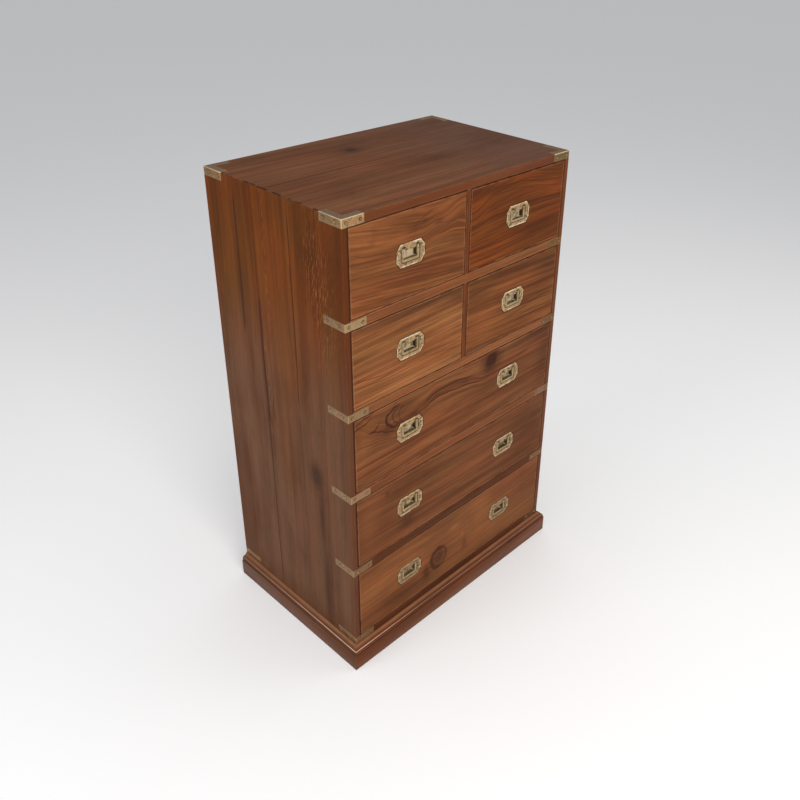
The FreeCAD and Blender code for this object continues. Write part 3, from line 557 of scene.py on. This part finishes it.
class Casting(Recipe):  # a brass piece: its look, its axes, and its colour and finish so far
    def __init__(self, name, look):
        super().__init__(name)
        self.look = look
        self.axes = self.split(self.object)
        self.normal = self.split(self.node("NewGeometry", output="Normal"))
        self.cloud = self.mottle((75, 75, 75), 4.0, 0.6)
        self.spots = self.mottle((look["grit"],) * 3, 3.0, 0.65)
        self.lines = self.mottle((260, 260, 1900), 2.0, 0.5)
        self.colour = self.blend(self.fade(self.cloud + self.spots * 0.5, 0.62, 0.90),
                                 tuple(a * b for a, b in zip(look["tone"], look["face"])),
                                 tuple(a * b for a, b in zip(look["tone"], look["pale"])))
        dull = self.fade(self.spots * 0.6 + self.cloud * 0.4, 0.47, 0.60) * look["speckle"]
        self.paint(dull, look["tarnish"])
        self.metallic = 1.0 - dull * 0.35
        self.roughness = look["rough"] + dull * 0.25 + self.cloud * 0.12

    def mottle(self, scales, detail, rough):  # noise, in waves per metre along each axis
        return self.noise(self.join(*(axis * scale for axis, scale in zip(self.axes, scales))), detail, rough)

    def behind(self, start, end):  # comes in between two depths behind the plate's face
        faceDepth = self.look["faceDepth"]
        return self.fade(self.axes[1], faceDepth + start, faceDepth + end)

    def nearestOf(self, value, places):
        nearest = abs(value - places[0])
        for place in places[1:]:
            nearest = self.smaller(nearest, abs(value - place))
        return nearest

    def shadeAndDirtInTray(self):  # painted shade and dirt in the tray round the bail and on its walls, darkest on the walls that face left; the deep cup gets its own mottled colour
        look = self.look
        tray = self.behind(*brassMarks["tray"])
        cup = self.behind(*brassMarks["cup"])
        wall = self.fade(abs(self.normal[1]), 0.80, 0.40) * self.behind(*brassMarks["wall"])
        shaded = wall * self.fade(self.normal[0], -0.30, -0.70)
        # painted shade and dirt: the tray, its walls, and darker still the walls that face left
        self.paint(tray * 0.58, look["dirt"])
        cupShade = self.blend(self.fade(self.cloud, 0.36, 0.60), look["cupDark"], look["cupPale"])
        self.paint(cup * 0.90, cupShade)
        self.paint(wall * 0.45, look["dirt"])
        self.paint(shaded * 0.90, look["dirt"])
        self.metallic = self.metallic - self.larger(self.larger(tray, wall) * 0.40, cup * 0.70)
        self.roughness = self.roughness + tray * 0.15

    def dullFaces(self):  # patina on top, dull sides, and dull arms on the front
        look, (x, y, z) = self.look, self.axes
        if look["topPatina"]:
            patina = self.fade(self.normal[2], 0.93, 0.995) * self.fade(self.cloud, 0.22, 0.40)
            self.paint(patina * 0.92, look["patina"])
            self.metallic = self.metallic - patina * 0.90
            self.roughness = self.roughness + patina * 0.10
        if look["sideDull"]:
            self.paint(self.fade(abs(self.normal[0]), 0.5, 0.9) * look["sideDull"], look["tarnish"])
        halfWidth, halfHeight = dullArm["half"]
        for dullX, dullZ, share, tint in look["dullPlaces"]:
            away = self.larger(abs(x - dullX) * (1 / halfWidth), abs(z - dullZ) * (1 / halfHeight))
            spot = self.fade(away, 1.1, 0.8) * self.fade(
                y, *(caseFace["front"] + depth for depth in dullArm["skin"]))
            self.paint(spot * share * (0.5 + self.cloud), tint)
            self.metallic = self.metallic - spot * share
            self.roughness = self.roughness + spot * 0.20

    def darkRingsRoundArmScrews(self):
        look, (x, y, z) = self.look, self.axes
        near, far, sideSet = armScrews["near"], armScrews["far"], armScrews["sideSet"]
        upright = self.nearestOf(z, look["screwLevels"])
        inX = caseFace["side"] - abs(x)
        inY = caseFace["back"] - caseFace["middleY"] - abs(y - caseFace["middleY"])
        frontRow = self.smaller(abs(inX - near), abs(inX - far))
        sideRow = self.smaller(abs(inY - near - sideSet), abs(inY - far - sideSet))
        reach = self.smaller(self.reach(frontRow, upright), self.reach(sideRow, upright))
        # a dark ring round each screw head
        self.paint(self.fade(abs(reach - brassMarks["armScrew"]), *brassMarks["screwRing"]) * 0.75, look["dirt"])

    def brightPlateRim(self):  # a bright rim, rubbed and with a painted highlight; dark rings round the screws; and duller lower rows
        look, z = self.look, self.axes[2]
        upright = self.nearestOf(z, look["plateLevels"])
        aside = abs(abs(self.axes[0]) - handleX)
        rimHighlight = (self.fade(self.plateRim(aside, upright), *brassMarks["rim"])
                  * self.fade(self.cloud, 0.38, 0.56))
        self.paint(rimHighlight * self.behind(*brassMarks["rimDepth"]) * 0.80, look["rimRubAndHighlight"])
        screwAside, screwAbove = plateShape["screws"]
        reach = self.reach(abs(aside - screwAside), abs(upright - screwAbove))
        self.paint(self.fade(abs(reach - brassMarks["plateScrew"]), *brassMarks["screwRing"]) * 0.70, look["dirt"])
        self.paint(self.fade(z, *brassMarks["lowRows"]) * (0.25 + self.cloud * 0.5), look["lowRows"])

    def rubEdges(self):  # rubbed bright where the faces meet, with a painted highlight
        look, normal = self.look, self.normal
        flat = self.larger(self.larger(abs(normal[0]), abs(normal[1])), abs(normal[2]))
        rubbed = self.fade(flat, 0.985, 0.90)
        if look["topPatina"]:
            rim = self.edgeDistance(*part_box("corner_brackets"))
            rubbed = (self.larger(rubbed, self.fade(rim, *brassMarks["topRim"]))
                      * self.fade(self.axes[2], *brassMarks["topRimHeight"]))
        self.paint(rubbed * look["edges"], look["rubbed"])


def brass(name, **changes):
    look = {**brassBase, **changes}
    casting = Casting(name, look)
    if look["faceDepth"] is not None:
        casting.shadeAndDirtInTray()
    casting.dullFaces()
    if look["screwLevels"]:
        casting.darkRingsRoundArmScrews()
    if look["plateLevels"]:
        casting.brightPlateRim()
    if look["edges"]:
        casting.rubEdges()
    bump = casting.spots * 0.6 + casting.lines * 0.3
    return casting.finish(casting.colour, casting.roughness, bump, 0.00014,
                          **{"Metallic": casting.metallic, "Specular IOR Level": look["shine"]})


# shapes: how wide each eased arris is
arrisSet = {"board": 0.0009, "top_board": 0.0014, "moulding": 0.0007,
            "straps": 0.00025, "brackets": 0.0004, "plates": 0.00035, "bails": 0.0010}


def newPiece(name, shape, material, body, replaced=()):
    mesh = bpy.data.meshes.new(name)
    shape.to_mesh(mesh)
    shape.free()
    mesh.materials.append(material)
    piece = bpy.data.objects.new(name, mesh)
    bpy.context.scene.collection.objects.link(piece)
    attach(piece, body)
    if replaced:
        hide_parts(*replaced)


def mergedShape(node):
    shape = bmesh.new()
    shape.from_mesh(frame["nodes"][node].data)
    bmesh.ops.remove_doubles(shape, verts=shape.verts[:], dist=0.00001)
    bmesh.ops.dissolve_limit(shape, angle_limit=math.radians(0.6), use_dissolve_boundaries=False,
                             verts=shape.verts[:], edges=shape.edges[:], delimit={"NORMAL"})
    for face in shape.faces:
        face.material_index = 0
        face.smooth = False
    return shape


def easeEdges(shape, width, steps, chosen, sharpest=28):
    edges = [edge for edge in shape.edges
             if edge.is_manifold and edge.calc_face_angle(0) > math.radians(sharpest) and chosen(edge)]
    made = bmesh.ops.bevel(shape, geom=edges, offset=width, offset_type="OFFSET", segments=steps,
                           profile=0.5, affect="EDGES", clamp_overlap=True, material=-1)
    for face in made["faces"]:
        face.smooth = True


def easedBoard(node, material, width=arrisSet["board"], steps=3):
    # a board whose outer arrises are eased; housings and cavities keep theirs
    shape = mergedShape(node)
    low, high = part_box(node)

    def onOutside(edge):
        held = [sum(1 for vert in edge.verts
                    if abs(vert.co[axis] - low[axis]) < 1e-5 or abs(vert.co[axis] - high[axis]) < 1e-5) == 2
                for axis in range(3)]
        return sum(held) >= 2

    easeEdges(shape, width, steps, onOutside)
    newPiece(node + ".eased", shape, material, bodyOfNode[node], [node])


def easedAll(node, material, width, steps=2, sharpest=35, crease=32):
    # a piece eased at all its edges, with shading that turns only at those over the crease angle
    shape = mergedShape(node)
    easeEdges(shape, width, steps, lambda edge: True, sharpest)
    for face in shape.faces:
        face.smooth = True
    for edge in shape.edges:
        edge.smooth = not (edge.is_manifold and edge.calc_face_angle(0) > math.radians(crease))
    newPiece(node + ".eased", shape, material, bodyOfNode[node], [node])


# the case

# the sides' painted sheen greys the lower part of each side
sideLook = dict(grain="z", across="y", spacing=0.0160, ringDark=0.14, streakDark=0.24, bandShare=0.90,
                light=(0.186, 0.053, 0.006), mid=(0.122, 0.030, 0.003), dark=(0.040, 0.014, 0.007),
                wander=0.040, blotch=0.45, hue=0.8, wear=0.08,
                paintedSheen=((0.147, 0.077, 0.045), 1.04, 0.68, 0.74))
topLook = dict(light=(0.225, 0.086, 0.036), mid=(0.158, 0.057, 0.022), dark=(0.050, 0.020, 0.013),
               frontShade=(0.75, (0.126, 0.027, 0.006)))
railLook = dict(spacing=0.0060, wear=0.50)
plinthLook = dict(across="z", ringDark=0.25, wear=0.15, rough=0.36, shine=0.14,
                  light=(0.172, 0.050, 0.014), mid=(0.124, 0.033, 0.008),
                  # from the top: a pale worn band, a painted highlight on the bead, a line of painted shade
                  # below it, and a painted highlight on the lower arris
                  lines=((0.0640, 0.0050, 0.42, "worn"), (0.0583, 0.0012, 1.00, "rubbed"),
                         (0.0545, 0.0016, 0.80, "dirt"), (0.0497, 0.0011, 0.70, "rubbed")))
caseWood = {
    # the top's painted sheen greys its right-hand part
    "top_board": dict(topLook, grain="x", across="y", seed=11.0, spacing=0.0150, ringDark=0.22,
                      streakDark=0.30, paintedSheen=((0.112, 0.060, 0.040), -0.10, 0.34, 0.78),
                      joints=(0.0260, -0.118, 0.152), wear=0.22, chips=0.85, threads=0.45,
                      trails=((((-0.372, 0.0255), (-0.200, 0.0265), (0.010, 0.0240)), 0.0028, 0.85),
                              (((-0.200, 0.214), (0.000, 0.222), (0.150, 0.214)), 0.0016, 0.45)),
                      knots=((-0.034, 0.129, 0.019, 0.90), (-0.250, -0.125, 0.005, 0.4)),
                      tonePatches=((-0.040, 0.134, 0.045, 0.020, 0.40), (-0.240, 0.060, 0.120, 0.050, -0.20),
                              (-0.240, -0.110, 0.050, 0.030, 0.25), (0.080, -0.050, 0.080, 0.030, 0.25))),
    "left_side": dict(sideLook, seed=23.0, frontShade=(0.62, (0.082, 0.022, 0.007)),
                      innerArrisShade=(0.3575, 0.85), joints=(0.075, -0.056, -0.148),
                      trails=((((0.830, 0.1430), (1.000, 0.1400), (1.190, 0.1400)), 0.0052, 0.75),
                              (((0.600, 0.0700), (0.800, 0.0740), (0.960, 0.0720)), 0.0048, 0.85),
                              (((0.080, 0.0740), (0.350, 0.0720), (0.650, 0.0730)), 0.0022, 0.75),
                              (((0.610, 0.0480), (0.650, 0.0520), (0.700, 0.0470)), 0.0030, 0.80),
                              (((0.700, -0.0540), (0.880, -0.0580), (1.195, -0.0565)), 0.0026, 0.75),
                              (((0.820, -0.0540), (0.950, -0.0560), (1.080, -0.0540)), 0.0060, 0.35)),
                      flecks=((1.080, -0.140, 0.120, 0.036, 0.62), (0.960, -0.170, 0.110, 0.034, 0.60),
                              (1.000, 0.036, 0.200, 0.006, 0.80), (0.740, 0.064, 0.140, 0.004, 1.00)),
                      tonePatches=((0.535, -0.106, 0.040, 0.024, 0.75), (0.420, -0.122, 0.110, 0.014, 0.75),
                              (0.180, -0.130, 0.110, 0.016, 0.80), (1.000, 0.143, 0.160, 0.012, 0.50),
                              (0.760, 0.075, 0.200, 0.007, 0.35), (1.080, -0.010, 0.100, 0.050, -0.22),
                              (1.150, 0.220, 0.090, 0.030, 0.40), (1.090, -0.195, 0.200, 0.040, 0.52),
                              (0.850, -0.010, 0.170, 0.050, -0.22),
                              (1.080, -0.125, 0.110, 0.032, 0.48), (0.820, -0.035, 0.080, 0.032, -0.32),
                              (0.100, 0.020, 0.035, 0.250, 0.18),
                              (0.560, 0.010, 0.170, 0.028, -0.20), (0.700, -0.210, 0.300, 0.014, 0.30)),
                      knots=((0.545, -0.106, 0.018, 0.60), (0.522, -0.108, 0.015, 0.50))),
    "right_side": dict(sideLook, seed=37.0, frontShade=(0.62, (0.138, 0.044, 0.017)),
                       innerArrisShade=(0.3575, 0.45), joints=(0.092, -0.040),
                       trails=((((0.200, -0.1200), (0.600, -0.1240), (1.000, -0.1200)), 0.0034, 0.75),
                               (((0.400, 0.1400), (0.800, 0.1360), (1.190, 0.1400)), 0.0028, 0.70)),
                       tonePatches=((0.850, 0.020, 0.180, 0.012, 0.5), (0.350, -0.130, 0.140, 0.016, 0.4))),
    "bottom_board": dict(grain="x", across="y", seed=41.0, wear=0.1,
                         light=(0.095, 0.030, 0.010), mid=(0.070, 0.020, 0.006)),
    "rail_1": dict(railLook, seed=43.0, light=(0.270, 0.098, 0.036), mid=(0.200, 0.068, 0.023)),
    "rail_2": dict(railLook, seed=47.0, light=(0.270, 0.096, 0.036), mid=(0.190, 0.064, 0.022)),
    "rail_3": dict(railLook, seed=53.0, light=(0.250, 0.088, 0.033), mid=(0.170, 0.056, 0.019)),
    "rail_4": dict(railLook, seed=59.0, light=(0.112, 0.034, 0.010), mid=(0.078, 0.022, 0.006),
                   wear=0.20),
    "upper_divider": dict(grain="z", across="x", seed=61.0, wear=0.25, spacing=0.0050,
                          light=(0.172, 0.049, 0.013), mid=(0.118, 0.031, 0.008)),
    "lower_divider": dict(grain="z", across="x", seed=67.0, wear=0.25, spacing=0.0050,
                          light=(0.172, 0.049, 0.013), mid=(0.118, 0.031, 0.008)),
    "plinth_front": dict(plinthLook, grain="x", seed=71.0),
    "plinth_left": dict(plinthLook, grain="y", seed=73.0, light=(0.178, 0.066, 0.029),
                        mid=(0.130, 0.044, 0.017)),
    "plinth_right": dict(plinthLook, grain="y", seed=79.0),
    "plinth_back": dict(grain="x", across="z", seed=83.0, wear=0.2,
                        light=(0.210, 0.090, 0.040), mid=(0.160, 0.062, 0.026)),
}
for boardName, boardLook in caseWood.items():
    woodName = "teak_" + boardName
    if boardName.startswith("plinth") and boardName != "plinth_back":
        easedAll(boardName, teak(woodName, boardName, **boardLook), arrisSet["moulding"], 2, 40, 34)
    else:
        easedBoard(boardName, teak(woodName, boardName, **boardLook),
                   arrisSet.get(boardName, arrisSet["board"]))

liningWood = dict(light=(0.370, 0.205, 0.100), mid=(0.290, 0.150, 0.068), dark=(0.130, 0.062, 0.030),
                  ringDark=0.35, streakDark=0.35, blotch=0.25, rough=0.58, wear=0.12)


def paintNode(node, material):
    mesh = frame["nodes"][node].data
    mesh.materials.clear()
    mesh.materials.append(material)


paintNode("back_boards", teak("teak_back_boards", "back_boards", **{
    **liningWood, "grain": "z", "across": "x", "seed": 91.0, "jointShade": 0.90,
    "joints": (-0.2181, -0.0727, 0.0727, 0.2181), "planks": (-0.3635, 0.1454)}))
for nodeName, grain, across in (("side_runners", "y", "x"), ("centre_runners", "y", "x"),
                                ("drawer_stops", "x", "y"), ("plinth_blocks", "y", "x")):
    paintNode(nodeName, teak("teak_" + nodeName, nodeName, **{
        **liningWood, "grain": grain, "across": across, "seed": 97.0}))
print("chest: case finished")

# brass on the corners

dullBrass = (   # side of the case, strap, share, colour
    (-1, 1, 0.45, (0.420, 0.300, 0.150)), (-1, 2, 0.70, (0.225, 0.150, 0.072)),
    (-1, 3, 0.70, (0.280, 0.155, 0.090)), (-1, 4, 0.90, (0.170, 0.088, 0.042)),
    (-1, 0, 0.90, (0.160, 0.078, 0.036)), (1, 1, 0.94, (0.138, 0.068, 0.019)),
    (1, 2, 0.92, (0.152, 0.070, 0.029)), (1, 3, 0.90, (0.190, 0.098, 0.062)),
    (1, 4, 0.96, (0.182, 0.084, 0.037)), (1, 0, 0.96, (0.100, 0.038, 0.016)),
)
easedAll("corner_straps", brass(
    "brassStraps", tone=(0.66, 0.56, 0.50), speckle=0.7, edges=0.30, grit=180, screwLevels=strapLevels,
    dullPlaces=[(side * dullArm["x"], strapLevels[strap], share, tint)
                for side, strap, share, tint in dullBrass]), arrisSet["straps"])
easedAll("corner_brackets", brass(
    "brassBrackets", topPatina=True, tone=(0.97, 0.83, 0.69), speckle=0.70, edges=0.85, grit=170,
    sideDull=0.38, screwLevels=[bracketLevel],
    dullPlaces=[(dullArm["x"], bracketLevel, 0.94, (0.125, 0.084, 0.034))]), arrisSet["brackets"])

# drawers

# the dark edge round each front is dirt with painted shade of the gaps; the paler band inside it is wear with
# a painted highlight
drawerBase = dict(threads=0.85, wear=0.0, grimeAndGapShade=0.80, halo=0.28, tone=(0.95, 0.93, 0.88))
drawerWood = {
    "top_left": dict(seed=3.0, spacing=0.0110, ringDark=0.26, blotch=0.32, bandShare=0.55, slope=0.10,
                     light=(0.255, 0.092, 0.032), mid=(0.185, 0.062, 0.020),
                     flow=(((-0.220, 1.124), (-0.150, 1.130), (-0.095, 1.146), (-0.010, 1.176)), 0.050),
                     trails=((((-0.360, 1.138), (-0.300, 1.122), (-0.230, 1.113)), 0.0014, 0.50),
                             (((-0.360, 1.108), (-0.300, 1.100), (-0.230, 1.094)), 0.0012, 0.45),
                             (((-0.184, 1.150), (-0.157, 1.164), (-0.142, 1.172),
                               (-0.100, 1.187)), 0.0015, 0.75),
                             (((-0.186, 1.152), (-0.130, 1.150), (-0.060, 1.140),
                               (-0.008, 1.124)), 0.0010, 0.50),
                             (((-0.172, 1.158), (-0.140, 1.161), (-0.095, 1.166)), 0.0013, 0.65),
                             (((-0.330, 1.183), (-0.250, 1.168), (-0.200, 1.172)), 0.0012, 0.35)),
                     tonePatches=((-0.286, 1.174, 0.008, 0.012, 0.60), (-0.294, 1.151, 0.010, 0.008, 0.50),
                             (-0.172, 1.150, 0.018, 0.008, 0.45), (-0.140, 1.161, 0.008, 0.006, 0.60),
                             (-0.095, 1.150, 0.014, 0.008, 0.45), (-0.120, 1.040, 0.120, 0.020, 0.18),
                             (-0.300, 1.182, 0.080, 0.034, -0.50), (-0.310, 1.100, 0.080, 0.070, -0.16))),
    "top_right": dict(seed=5.0, spacing=0.0100, slope=-0.03, ringDark=0.40,
                      light=(0.198, 0.053, 0.009), mid=(0.126, 0.031, 0.005),
                      flow=(((0.010, 1.150), (0.100, 1.176), (0.200, 1.184), (0.350, 1.160)), 0.060),
                      trails=((((0.020, 1.160), (0.090, 1.182), (0.180, 1.180),
                                (0.300, 1.158)), 0.0018, 0.65),
                              (((0.020, 1.140), (0.090, 1.166), (0.180, 1.164),
                                (0.260, 1.150)), 0.0012, 0.55)),
                      tonePatches=((0.110, 1.178, 0.090, 0.013, 0.60), (0.300, 1.060, 0.080, 0.030, 0.25),
                              (0.240, 1.130, 0.100, 0.012, 0.25))),
    "second_left": dict(seed=7.0, spacing=0.0108, slope=-0.02, ringDark=0.62, wander=0.012, bandShare=0.75,
                        ringZone=(0.895, 0.855), light=(0.330, 0.132, 0.048), mid=(0.200, 0.068, 0.022),
                        blotch=0.22,
                        # the first two patches darken a band just under the rail above
                        tonePatches=((-0.160, 0.960, 0.250, 0.014, 0.75), (-0.240, 0.944, 0.120, 0.010, 0.40),
                                (-0.020, 0.950, 0.050, 0.030, 0.55), (-0.060, 0.890, 0.060, 0.040, -0.25),
                                (-0.200, 0.788, 0.160, 0.020, -0.42), (-0.280, 0.850, 0.080, 0.025, -0.35)),
                        trails=((((-0.356, 0.838), (-0.260, 0.828), (-0.120, 0.832),
                                  (-0.008, 0.826)), 0.0015, 0.75),
                                (((-0.356, 0.822), (-0.240, 0.814), (-0.120, 0.818),
                                  (-0.008, 0.810)), 0.0013, 0.75),
                                (((-0.356, 0.800), (-0.220, 0.796), (-0.008, 0.792)), 0.0010, 0.60))),
    "second_right": dict(seed=9.0, spacing=0.0105, slope=0.03, ringDark=0.50, wander=0.014, bandShare=0.75,
                         ringZone=(0.900, 0.860), light=(0.250, 0.088, 0.028), mid=(0.150, 0.048, 0.013),
                         # the first patch darkens a band just under the rail above
                         tonePatches=((0.200, 0.955, 0.200, 0.018, 0.65), (0.060, 0.930, 0.060, 0.012, 0.30),
                                 (0.330, 0.925, 0.080, 0.034, 0.55), (0.070, 0.825, 0.070, 0.045, -0.55)),
                         trails=((((0.008, 0.830), (0.140, 0.822), (0.350, 0.846)), 0.0017, 0.75),
                                 (((0.008, 0.812), (0.160, 0.808), (0.350, 0.826)), 0.0012, 0.65),
                                 (((0.008, 0.926), (0.120, 0.940), (0.250, 0.936)), 0.0016, 0.50))),
    "upper_long": dict(seed=13.0, threads=0.70, spacing=0.0120, slope=-0.01, ringDark=0.45,
                       wander=0.014, blotch=0.35,
                       light=(0.235, 0.086, 0.032), mid=(0.150, 0.050, 0.017),
                       flow=(((-0.357, 0.728), (-0.300, 0.692), (-0.250, 0.672), (-0.188, 0.672),
                              (-0.142, 0.686), (-0.090, 0.706), (-0.040, 0.704), (0.028, 0.690),
                              (0.090, 0.672), (0.180, 0.672)), 0.038),
                       trails=((((-0.145, 0.678), (-0.135, 0.686), (-0.122, 0.699), (-0.106, 0.7065),
                                 (-0.074, 0.711), (-0.030, 0.711), (0.050, 0.699)), 0.0034, 0.85),
                               (((-0.142, 0.668), (-0.132, 0.677), (-0.112, 0.689), (-0.083, 0.693),
                                 (-0.054, 0.691), (0.000, 0.685), (0.085, 0.672)), 0.0034, 0.95),
                               (((-0.150, 0.690), (-0.110, 0.702), (-0.060, 0.704),
                                 (0.040, 0.694)), 0.0130, 0.32),
                               (((-0.370, 0.713), (-0.328, 0.720), (-0.292, 0.735)), 0.0029, 0.95),
                               (((-0.370, 0.725), (-0.312, 0.738), (-0.280, 0.748)), 0.0028, 0.90),
                               (((-0.3250, 0.691), (-0.2960, 0.6885), (-0.2890, 0.696), (-0.2680, 0.720)),
                                0.0044, 1.05),
                               (((-0.310, 0.692), (-0.278, 0.680), (-0.255, 0.668),
                                 (-0.215, 0.655)), 0.0034, 0.95),
                               (((-0.365, 0.666), (-0.290, 0.656), (-0.215, 0.640)), 0.0016, 0.55),
                               (((-0.255, 0.724), (-0.232, 0.736), (-0.205, 0.752)), 0.0026, 0.75)),
                       arcs=((-0.2225, 0.700, 0.0350, 0.0300, 0.150, 1.00),
                             (-0.2180, 0.700, 0.0215, 0.0250, 0.140, 0.65),
                             (-0.2050, 0.697, 0.0140, 0.0220, 0.160, 0.55)),
                       tonePatches=((0.110, 0.716, 0.034, 0.026, 0.88), (0.124, 0.740, 0.014, 0.012, 0.60),
                               (0.102, 0.698, 0.016, 0.014, 0.60), (0.310, 0.735, 0.070, 0.016, 0.75),
                               (0.345, 0.650, 0.045, 0.110, 0.55), (-0.330, 0.670, 0.034, 0.050, -0.45),
                               (-0.205, 0.705, 0.046, 0.026, 0.35), (0.150, 0.620, 0.180, 0.030, 0.15),
                               (-0.258, 0.674, 0.012, 0.010, 0.60), (-0.170, 0.680, 0.020, 0.006, 0.70),
                               (-0.300, 0.575, 0.080, 0.020, 0.20), (0.040, 0.720, 0.050, 0.012, -0.25)),
                       knots=((0.112, 0.720, 0.027, 1.00),), knotShade=(0.044, 0.011, 0.004)),
    "middle_long": dict(seed=17.0, threads=0.60, spacing=0.0140, slope=0.02, ringDark=0.17, blotch=0.55,
                        bandShare=0.45, streakDark=0.26,
                        light=(0.220, 0.082, 0.031), mid=(0.150, 0.051, 0.018),
                        tonePatches=((-0.190, 0.366, 0.032, 0.024, 0.60), (0.270, 0.470, 0.090, 0.040, 0.45),
                                (0.020, 0.358, 0.300, 0.010, 0.42), (0.000, 0.336, 0.300, 0.008, -0.30),
                                (0.060, 0.400, 0.160, 0.030, -0.10), (-0.320, 0.430, 0.036, 0.080, -0.35),
                                (0.280, 0.400, 0.090, 0.030, 0.25)),
                        eyes=((-0.2575, 0.489, 0.013, 0.011, 2.0, 0.7),),
                        knots=((-0.2575, 0.489, 0.005, 0.6),)),
    "lower_long": dict(seed=19.0, threads=0.42, spacing=0.0140, slope=-0.02, ringDark=0.16, blotch=0.40,
                       streakDark=0.24,
                       light=(0.268, 0.100, 0.036), mid=(0.185, 0.064, 0.022),
                       eyes=((-0.0725, 0.168, 0.036, 0.034, 1.5, 0.60),),
                       arcs=((-0.0690, 0.166, 0.0290, 0.0310, 0.400, 0.85),
                             (-0.0720, 0.166, -0.0330, 0.0320, 0.120, 0.70)),
                       tonePatches=((-0.0700, 0.166, 0.030, 0.030, 0.90), (-0.118, 0.142, 0.014, 0.024, 0.80),
                               (-0.0625, 0.194, 0.012, 0.006, 0.90),
                               (-0.120, 0.150, 0.010, 0.014, 0.60), (-0.115, 0.130, 0.012, 0.010, 0.60),
                               (0.034, 0.152, 0.010, 0.018, 0.60), (-0.210, 0.125, 0.090, 0.022, 0.75),
                               (-0.140, 0.262, 0.080, 0.010, -0.40), (-0.010, 0.236, 0.020, 0.008, -0.55),
                               (0.100, 0.240, 0.040, 0.050, -0.38),
                               (0.024, 0.192, 0.006, 0.006, -0.50), (-0.060, 0.268, 0.080, 0.006, 0.35),
                               (-0.110, 0.110, 0.080, 0.016, 0.45), (0.150, 0.112, 0.180, 0.014, -0.20)),
                       trails=((((-0.340, 0.262), (-0.200, 0.262), (-0.110, 0.246)), 0.0013, 0.45),)),
}
handles = {}   # bail node: (drawer, x, z)
for drawer in drawerWood:
    for hand in (("_left", "_right") if drawer.endswith("_long") else ("",)):
        bail = drawer + hand + "_bail"
        handles[bail] = (drawer, middle(bail, 0), middle(drawer + "_plates", 2))

plateBrass = brass("brassPlates", faceDepth=drawerFace, tone=(1.02, 0.94, 0.84), speckle=0.95,
                   edges=0.5, grit=170, plateLevels=sorted({z for drawer, x, z in handles.values()}))
bailBrass = brass("brassBails", tone=(0.92, 0.95, 0.90), speckle=0.70, grit=170)
for drawer, look in drawerWood.items():
    plates = tuple((x, z) for owner, x, z in handles.values() if owner == drawer)
    easedBoard(drawer + "_front", teak("teak_" + drawer, drawer + "_front", plates=plates,
                                        **{**drawerBase, **look}))
    easedAll(drawer + "_plates", plateBrass, arrisSet["plates"])
    for part, grain, across in (("_box", "y", "z"), ("_bottom", "x", "y")):
        paintNode(drawer + part, teak("teak_" + drawer + part, drawer + part, **{
            **liningWood, "grain": grain, "across": across, "seed": look["seed"] + 50}))
for bail in handles:
    easedAll(bail, bailBrass, arrisSet["bails"], 3)
print("chest: drawers finished")

# screws

screwSet = {"radius": 0.0034, "rise": 0.0008, "slot": 0.0009, "slotDepth": 0.0006, "sides": 24,
            "flare": 1.05, "caseSize": 0.9, "turns": (0.35, 1.20, 2.05, 0.80, 2.60, 1.65)}
screwBrass = brass("brassScrews", tone=(1.25, 1.28, 1.30), speckle=0.25)
dullScrewBrass = brass("brassCaseScrews", tone=(0.78, 0.66, 0.50), speckle=0.30)


def lower(made, depth, spread=1.0):  # sinks what an extrusion made, and may spread it
    for item in made["geom"]:
        if isinstance(item, bmesh.types.BMVert):
            item.co = (item.co.x * spread, item.co.y * spread, item.co.z - depth)


def addScrew(shape, place, facing, count, size=1.0):
    # a slotted head that stands on the plate; facing is the way it looks out
    head = bmesh.new()
    bmesh.ops.create_circle(head, cap_ends=True, segments=screwSet["sides"],
                            radius=screwSet["radius"] * size)
    for side in (-1, 1):
        geometry = head.verts[:] + head.edges[:] + head.faces[:]
        bmesh.ops.bisect_plane(head, geom=geometry, dist=1e-7,
                               plane_co=(0, side * screwSet["slot"] / 2, 0), plane_no=(0, side, 0))
    rim = bmesh.ops.extrude_edge_only(head, edges=[edge for edge in head.edges if edge.is_boundary])
    lower(rim, screwSet["rise"], screwSet["flare"])
    strip = [face for face in head.faces
             if abs(face.normal.z) > 0.9 and abs(face.calc_center_median().y) < screwSet["slot"] / 3]
    lower(bmesh.ops.extrude_face_region(head, geom=strip), screwSet["slotDepth"])
    bmesh.ops.delete(head, geom=strip, context="FACES")
    bmesh.ops.recalc_face_normals(head, faces=head.faces[:])
    turn = screwSet["turns"][count % len(screwSet["turns"])]
    screwFrame = (Matrix.Translation(place) @ Vector(facing).to_track_quat("Z", "Y").to_matrix().to_4x4()
                  @ Matrix.Rotation(turn, 4, "Z") @ Matrix.Translation((0, 0, screwSet["rise"])))
    bmesh.ops.transform(head, matrix=screwFrame, verts=head.verts[:])
    part = bpy.data.meshes.new("screwHead")
    head.to_mesh(part)
    head.free()
    shape.from_mesh(part)
    bpy.data.meshes.remove(part)


aside, above = plateShape["screws"]
for drawer in drawerWood:
    shape = bmesh.new()
    count = len(drawer)
    for owner, x, z in handles.values():
        if owner != drawer:
            continue
        for dx in (-aside, aside):
            for dz in (-above, above):
                addScrew(shape, (x + dx, drawerFace, z + dz), (0, -1, 0), count)
                count += 1
    newPiece(drawer + "_screws", shape, screwBrass, drawer + "_drawer")

shape = bmesh.new()
count = 0
for level in strapLevels + [bracketLevel]:
    for side in (-1, 1):
        for face, inward in ((caseFace["front"], 1), (caseFace["back"], -1)):
            if face == caseFace["back"] and level not in (strapLevels[0], bracketLevel):
                continue
            for arm in (armScrews["near"], armScrews["far"]):
                addScrew(shape, (side * (caseFace["side"] - arm), face, level), (0, -inward, 0),
                         count, screwSet["caseSize"])
                sidePlace = face + inward * (arm + armScrews["sideSet"])
                addScrew(shape, (side * caseFace["side"], sidePlace, level), (side, 0, 0),
                         count + 3, screwSet["caseSize"])
                count += 1
newPiece("case_screws", shape, dullScrewBrass, "case")
print("chest: screws in")
